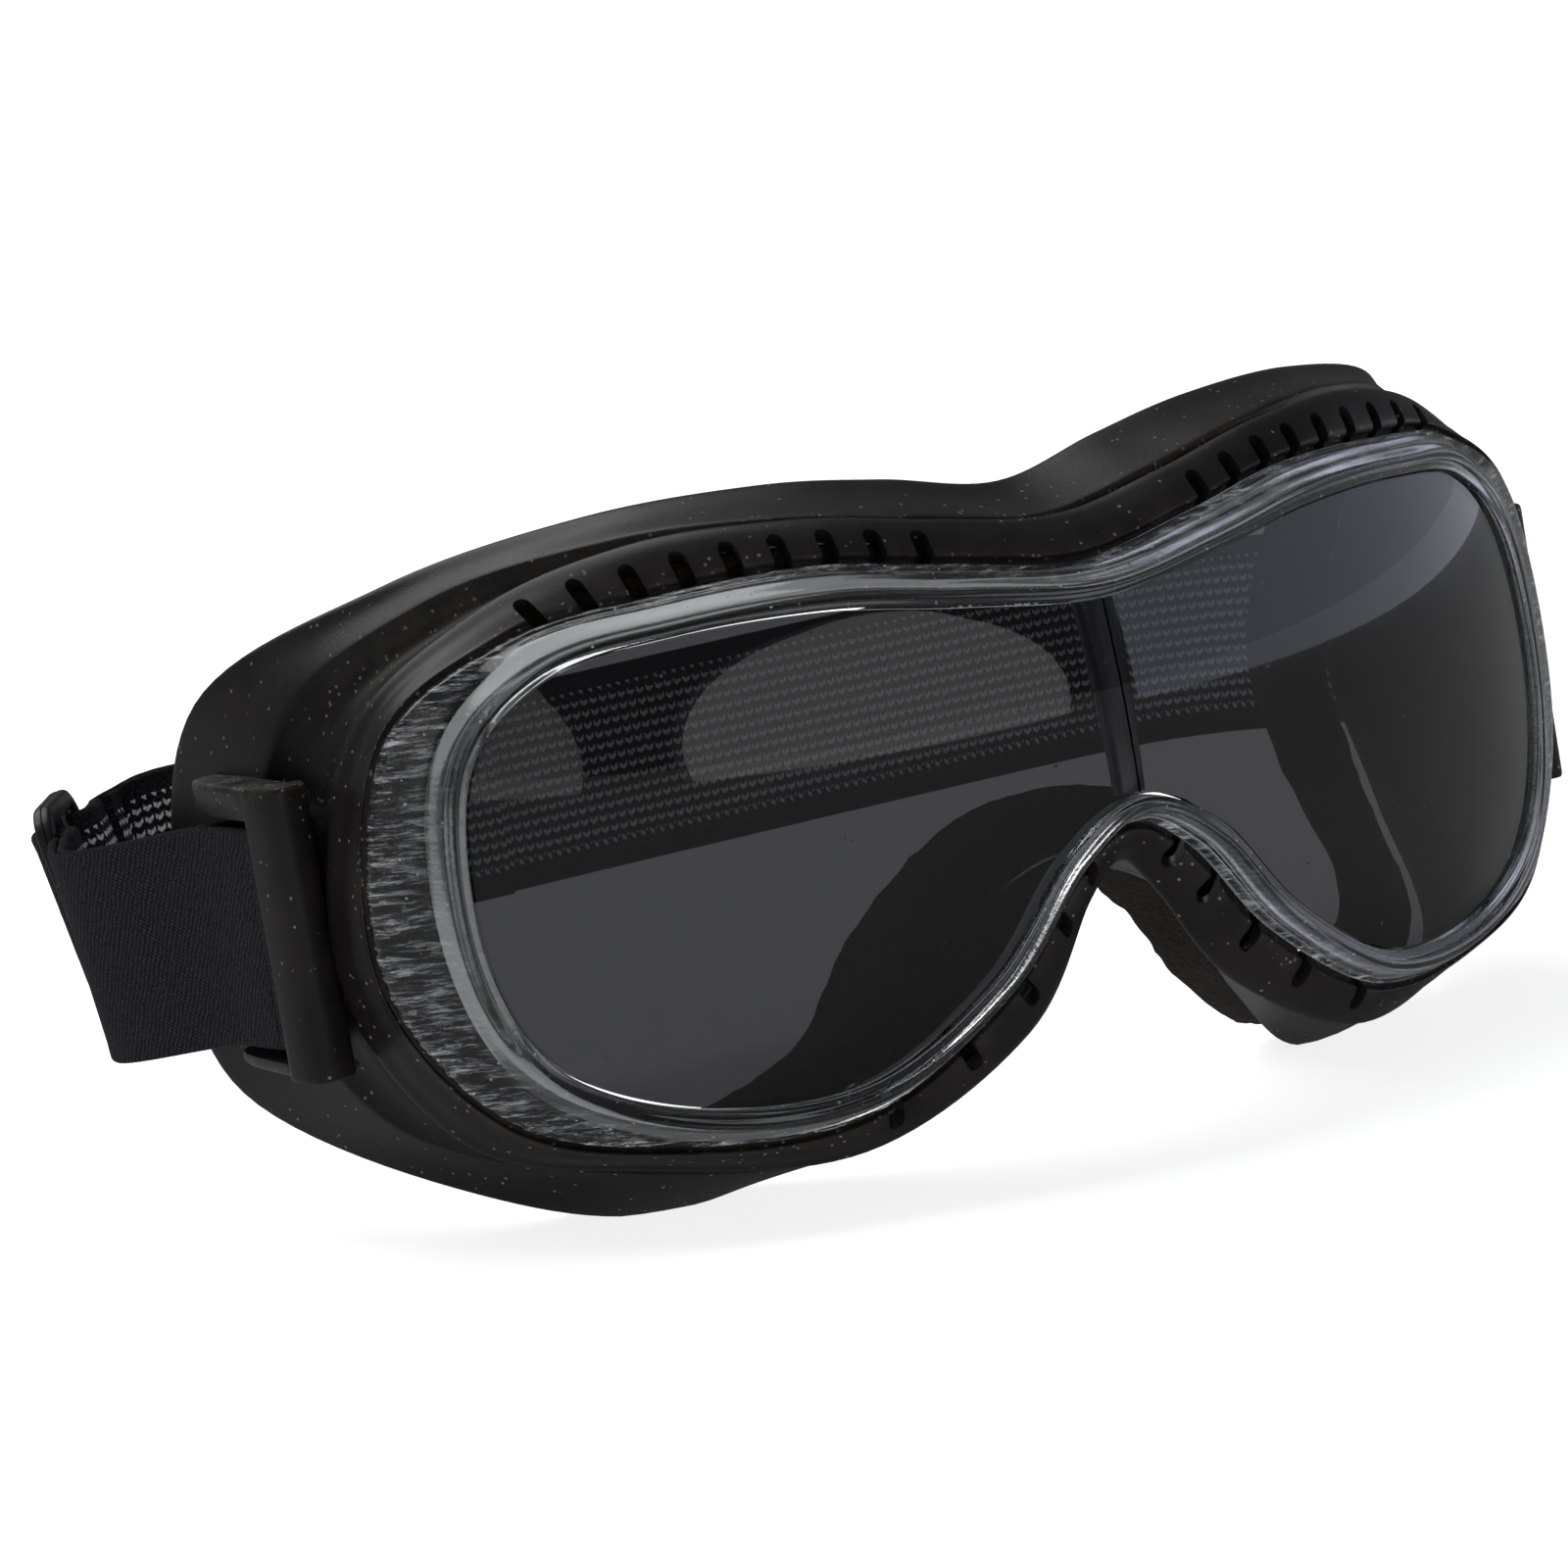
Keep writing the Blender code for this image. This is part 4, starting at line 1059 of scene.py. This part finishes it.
def makeBand():
    rear = sliderPoint(13.6, -2.9)
    corner = np.array((-75.0, strap["bandY"] - 1.2, strap["bandZ"]))
    begin = rear + sliderOut * 0.55
    bandY = strap["bandY"]
    bandZ = strap["bandZ"]
    route = [begin, begin + sliderAlong * 5.0, corner + (2.0, -0.6, 0.0), (-60.0, bandY, bandZ),
             (0.0, bandY + 1.0, bandZ), (60.0, bandY, bandZ), (78.0, bandY - 2.6, bandZ),
             (87.6, bandY - 8.4, bandZ), (94.0, bandY - 18.0, bandZ)]
    band = smoothPath(route, 30)
    share = np.clip(np.linspace(0.0, 5.0, len(band)), 0.0, 1.0)[:, None]
    down = (1.0 - share) * sliderDown + share * np.array((0.0, 0.0, -1.0))
    facing = unit(np.cross(unit(np.gradient(band, axis=0)), down))
    tail = band - facing * strap["tailOffset"]
    tailEnd = int(np.argmax(tail[:, 0] > strap["tailEndX"]))
    for name, node, path, last in (("strapBand", "strap_band", band, len(band)),
                                   ("strapTail", "strap_tail", tail, tailEnd)):
        steps = np.concatenate([[0.0], np.cumsum(np.linalg.norm(np.diff(path, axis=0), axis=1))])
        cut = int(np.argmax(steps > strap["bandStart"]))
        near = ribbonPiece(name + "_start", path[:cut + 1], down[:cut + 1], relief=gentle)
        rest = ribbonPiece(name + "_back", path[cut:last], down[cut:last], relief=gentle, start=steps[cut])
        for piece in (near, rest):
            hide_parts(node)
        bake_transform(near)
        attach(rest, "strap")


def makeFarRun():
    begin = np.array((strap["pinX"] + loopTurn, strap["pinY"] + 4.05, strap["height"]))
    end = (94.0, strap["bandY"] - 18.0, strap["bandZ"])
    path = smoothPath([begin, (93.2, 84.0, -6.6), (100.7, 111.0, -7.0), end], 24)
    run = ribbonPiece("strapRun_left", path, flip=True, relief=puckers)
    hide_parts("strap_run_left")
    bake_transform(run)
    route = [(strap["pinX"] - loopTurn, strap["pinY"] + 4.05, strap["height"]), (88.9, 75.0, -6.5),
             (91.6, 84.0, -6.6)]
    hem = smoothPath(route, 24)
    settle(ribbonPiece("strapHem_left", hem, flip=True), "frame", "webbing", "strap_hem_left")
    return hem


def tube(points, radius, sidesCount=6):
    points = np.array(points, float)
    along = unit(np.gradient(points, axis=0))
    across = unit(np.cross(along, (0.3, 0.2, 0.93)))
    up = np.cross(along, across)
    rings = []
    for i in range(sidesCount):
        a = 2.0 * math.pi * i / sidesCount
        rings.append(points + across * (radius * math.cos(a)) + up * (radius * math.sin(a)))
    return np.array(rings)


def makeStitches(hem):
    # three zigzag rows of thread across the strap, on the inner face of the hem
    vertices = []
    faces = []
    along = unit(np.gradient(hem, axis=0))
    face = unit(np.cross(along, (0.0, 0.0, -1.0)))
    if float(np.mean(face[:, 0])) > 0.0:
        face = -face
    for row in (0.42, 0.5, 0.58):
        i = int(row * len(hem))
        points = []
        for k, z in enumerate(np.linspace(-11.5, 11.5, 93)):
            zig = 0.7 * (1.0 if k // 2 % 2 else -1.0)
            dip = 0.62 if k % 2 else 0.5
            points.append(hem[i] + along[i] * zig + face[i] * dip + np.array((0.0, 0.0, z)))
        rings = tube(points, 0.16)
        base = len(vertices)
        vertices.extend(rings.reshape(-1, 3))
        count = len(points)
        for quad in latticeFaces(6, count, True, False):
            faces.append(tuple(base + v for v in quad))
        faces.append(tuple(base + r * count for r in range(6)))
        faces.append(tuple(base + r * count + count - 1 for r in reversed(range(6))))
    piece = makePiece("strapStitches_left", np.array(vertices), faces, [threadLook])
    settle(piece, "frame", "thread", "strap_stitch_left")


makeLoops()
makeNearRuns()
makeWeave()
makeBand()
makeStitches(makeFarRun())
print("strap ready")


# Slider
def roundedOutline(halfA, halfB, corner, perCorner=10, perEdge=10):
    points = []
    for i, j, first in ((1, 1, 0), (-1, 1, 90), (-1, -1, 180), (1, -1, 270)):
        arc = []
        for step in range(perCorner + 1):
            a = math.radians(first + 90.0 * step / perCorner)
            arc.append((i * (halfA - corner) + corner * math.cos(a),
                        j * (halfB - corner) + corner * math.sin(a)))
        points.append(arc)
    outline = []
    for k, arc in enumerate(points):
        outline.extend(arc)
        nextStart = np.array(points[(k + 1) % 4][0])
        last = np.array(arc[-1])
        for step in range(1, perEdge):
            outline.append(tuple(last + (nextStart - last) * step / perEdge))
    return np.array(outline)


def makeSlider():
    halfWide = slider["width"] / 2.0
    halfLong = slider["length"] / 2.0
    slotHalf = halfWide - slider["bar"]
    slotLong = slider["slotLength"] / 2.0
    level = slider["thick"] / 2.0

    def ring(share, inset, height):
        outer = roundedOutline(halfWide - inset, halfLong - inset, slider["corner"] - inset)
        inner = roundedOutline(slotHalf + inset, slotLong + inset, 0.9 + inset)
        flat = outer if share == 0 else inner
        return [sliderPoint(a, height, b) for a, b in flat]

    rows = [ring(0, 0.0, -0.75), ring(0, 0.0, -0.2), ring(0, 0.0, -0.12), ring(0, 0.16, -0.1),
            ring(0, 0.16, 0.02), ring(0, 0.0, 0.05), ring(0, 0.0, 0.15), ring(0, 0.0, 0.75),
            ring(0, 0.25, level - 0.1), ring(0, 0.8, level),
            ring(1, 0.8, level), ring(1, 0.2, level - 0.15),
            ring(1, 0.0, 0.6), ring(1, 0.0, -0.6), ring(1, 0.2, -level + 0.15), ring(1, 0.8, -level),
            ring(0, 0.8, -level), ring(0, 0.25, -level + 0.1)]
    rows = [withDust(np.array(row), 0.15) for row in rows]
    body = ringPiece("sliderBody", softRows(rows, 1), [sliderLook], 50.0)
    settle(body, "slider", "slider", "strap_slider")
    lines = []
    for a in np.linspace(0.0, 2.0 * math.pi, 20, endpoint=False):
        x = 1.5 * math.copysign(abs(math.cos(a)) ** 0.55, math.cos(a))
        y = 1.15 * math.copysign(abs(math.sin(a)) ** 0.55, math.sin(a))
        lines.append([np.append(sliderPoint(x, y, t), 0.1)
                      for t in np.linspace(-slotLong - 0.5, slotLong + 0.5, 9)])
    bar = stripPiece("sliderBar", lines, [sliderLook], 50.0)
    settle(bar, "slider", "slider", "strap_slider")


makeSlider()
print("slider ready")

# Outriggers
outrigger = {
    # hook-shaped lip round the front of the strap's turn
    "section": ((84.8, 52.8), (86.5, 51.5), (89.0, 51.0), (90.0, 51.5), (90.9, 53.3), (91.4, 55.4),
                (91.65, 57.2), (91.7, 58.2), (91.5, 58.7), (91.2, 58.6), (91.05, 57.8), (90.95, 56.6),
                (90.7, 55.7), (89.6, 55.4), (86.0, 55.6), (84.8, 55.9)),
    "low": -23.8, "high": 12.9, "round": 0.7,
    "top": ((84.0, 8.4), (90.6, 8.4), (91.2, 8.9), (91.3, 12.2), (90.9, 12.8), (90.3, 12.9), (84.0, 12.9)),
    "foot": ((84.0, -23.8), (90.1, -23.8), (90.8, -23.4), (90.9, -22.5), (90.6, -21.6), (84.0, -21.6)),
    "fromY": 54.0, "toY": 82.0,
}


def roundedBlock(name, section, levels, axisPoint):
    # section loops stacked along one direction, drawn in a little at both ends
    middle = np.mean(section, axis=0)
    rows = []
    for level, shrink, dust in levels:
        loop = middle + (section - middle) * (1.0 - shrink)
        rows.append([np.append(axisPoint(p, level), dust) for p in loop])
    lines = list(np.array(rows).transpose(1, 0, 2))
    return stripPiece(name, lines, [rubberLook], 45.0)


def makeOutrigger(side, sign):
    section = softRows(np.array(outrigger["section"]), 2)
    low, high, soft = outrigger["low"], outrigger["high"], outrigger["round"]
    levels = [(low, 0.08, 0.0), (low + soft * 0.3, 0.025, 0.0), (low + soft, 0.0, 0.05)]
    levels += [(z, 0.0, 0.05) for z in np.linspace(low + 3.0, high - 3.0, 12)]
    levels += [(high - soft, 0.0, 0.15), (high - soft * 0.3, 0.025, 0.8), (high, 0.08, 1.0)]
    lip = roundedBlock(f"outriggerLip_{side}", section, levels,
                       lambda p, z: np.array((sign * p[0], p[1], z)))
    settle(lip, "frame", "frame", f"outrigger_{side}")
    start, finish = outrigger["fromY"], outrigger["toY"]
    steps = ((0.0, 0.06), (0.02, 0.0), (0.3, 0.0), (0.6, 0.0),
             (0.78, 0.05), (0.9, 0.18), (0.97, 0.4), (1.0, 0.8))
    for level in ("top", "foot"):
        shape = softRows(np.array(outrigger[level]), 1)
        middle = np.array((84.5, shape[:, 1].mean()))
        rows = []
        for share, pull in steps:
            y = start + (finish - start) * share
            loop = middle + (shape - middle) * (1.0 - pull * np.array((1.0, 0.4)))
            rows.append([(sign * x, y, z, 0.9 if z > high - 0.6 else 0.08) for x, z in loop])
        lines = list(np.array(rows).transpose(1, 0, 2))
        block = stripPiece(f"outriggerShelf_{level}_{side}", lines, [rubberLook], 50.0)
        settle(block, "frame", "frame", f"outrigger_{side}")
    slotTop = strap["height"] + webbing["width"] / 2.0 + 0.5
    slotLow = strap["height"] - webbing["width"] / 2.0 - 0.5
    pin = []
    for a in np.linspace(0.0, 2.0 * math.pi, 24, endpoint=False):
        x = sign * (strap["pinX"] + strap["pinRadius"] * math.cos(a))
        y = strap["pinY"] + strap["pinRadius"] * math.sin(a)
        pin.append([(x, y, slotLow), (x, y, strap["height"]), (x, y, slotTop)])
    settle(stripPiece(f"strapPin_{side}", pin, [steelLook], 50.0), "frame", "pin", f"strap_pin_{side}")


for side, sign in sides:
    makeOutrigger(side, sign)
print("outriggers ready")

# Studio
studio = {
    "azimuth": -24.70, "elevation": 7.74, "roll": -9.717,     # degrees
    "eye": (-373.3, -711.1, 113.3),                           # mm from the lens centre
    "lens": 155.0,
    "world": (0.115, 0.117, 0.12, 1.0),
    "sun": 2.2, "sunSpread": 60.0, "sunAzimuth": -150.0, "sunElevation": 60.0, "floorGlow": 0.84,
    "floorDim": 0.76,
    # name, azimuth and elevation in degrees, distance, size, radiance, colour, shape
    "panels": (
        ("sidePanel", 70.0, 2.0, 1.35, (2.35, 0.8), 1.0, (0.78, 0.82, 1.0), "RECTANGLE"),
        ("wideRound", -8.0, 1.5, 2.0, (2.05, 0.86), 0.95, (1.0, 0.98, 0.96), "ELLIPSE"),
        ("smallRound", -63.0, 2.0, 2.0, (1.0, 0.62), 0.55, (1.0, 0.98, 0.96), "ELLIPSE"),
    ),
}


def towards(azimuth, elevation):
    # azimuth from straight in front, positive to the wearer's left
    a = math.radians(azimuth)
    e = math.radians(elevation)
    return Vector((math.sin(a) * math.cos(e), -math.cos(a) * math.cos(e), math.sin(e)))


def makeCamera():
    a = math.radians(studio["azimuth"])
    roll = math.radians(studio["roll"])
    back = towards(studio["azimuth"], studio["elevation"])
    level = Vector((math.cos(a), math.sin(a), 0.0))
    upright = back.cross(level)
    right = level * math.cos(roll) + upright * math.sin(roll)
    up = upright * math.cos(roll) - level * math.sin(roll)
    data = bpy.data.cameras.new("camera")
    data.lens = studio["lens"]
    data.sensor_width = 36.0
    data.clip_start = 0.01
    camera = bpy.data.objects.new("camera", data)
    bpy.context.collection.objects.link(camera)
    turn = Matrix((right, up, back)).transposed().to_4x4()
    camera.matrix_world = Matrix.Translation(Vector(place([studio["eye"]])[0])) @ turn
    bpy.context.scene.camera = camera


def areaLight(name, spot, aim, size, radiance, colour=(1.0, 1.0, 1.0), shape="ELLIPSE"):
    data = bpy.data.lights.new(name, "AREA")
    data.shape = shape
    data.size = size[0]
    data.size_y = size[1]
    area = size[0] * size[1] * (math.pi / 4.0 if shape == "ELLIPSE" else 1.0)
    data.energy = radiance * math.pi * area
    data.color = colour
    light = bpy.data.objects.new(name, data)
    bpy.context.collection.objects.link(light)
    light.location = Vector(spot)
    light.rotation_euler = (Vector(aim) - Vector(spot)).to_track_quat("-Z", "Y").to_euler()


def makeLights():
    sun = bpy.data.lights.new("overhead", "SUN")
    sun.energy = studio["sun"]
    sun.angle = math.radians(studio["sunSpread"])
    light = bpy.data.objects.new("overhead", sun)
    bpy.context.collection.objects.link(light)
    light.rotation_euler = towards(studio["sunAzimuth"],
                                   studio["sunElevation"]).to_track_quat("Z", "Y").to_euler()
    middle = (0.0, -0.03, 0.05)
    for name, azimuth, elevation, reach, size, radiance, colour, shape in studio["panels"]:
        spot = Vector(middle) + towards(azimuth, elevation) * reach
        areaLight(name, spot, middle, size, radiance, colour, shape)
    world = bpy.data.worlds.new("studioWorld")
    world.use_nodes = True
    tree = world.node_tree
    dim = tree.nodes["Background"]
    dim.inputs["Color"].default_value = studio["world"]
    backdrop = tree.nodes.new("ShaderNodeBackground")      # plain white behind the object
    backdrop.inputs["Color"].default_value = (1.0, 1.0, 1.0, 1.0)
    choose = tree.nodes.new("ShaderNodeMixShader")
    tree.links.new(tree.nodes.new("ShaderNodeLightPath").outputs["Is Camera Ray"], choose.inputs["Fac"])
    tree.links.new(dim.outputs["Background"], choose.inputs[1])
    tree.links.new(backdrop.outputs["Background"], choose.inputs[2])
    tree.links.new(choose.outputs["Shader"], tree.nodes["World Output"].inputs["Surface"])
    bpy.context.scene.world = world
    bpy.context.scene.view_settings.view_transform = "Standard"


def makeFloor():
    shape = bmesh.new()
    bmesh.ops.create_grid(shape, x_segments=8, y_segments=8, size=400.0)
    mesh = bpy.data.meshes.new("floor")
    shape.to_mesh(mesh)
    shape.free()
    mesh.materials.append(makeFloorLook())
    floor = bpy.data.objects.new("floor", mesh)
    bpy.context.collection.objects.link(floor)


makeCamera()
makeLights()
makeFloor()
print("scene ready")
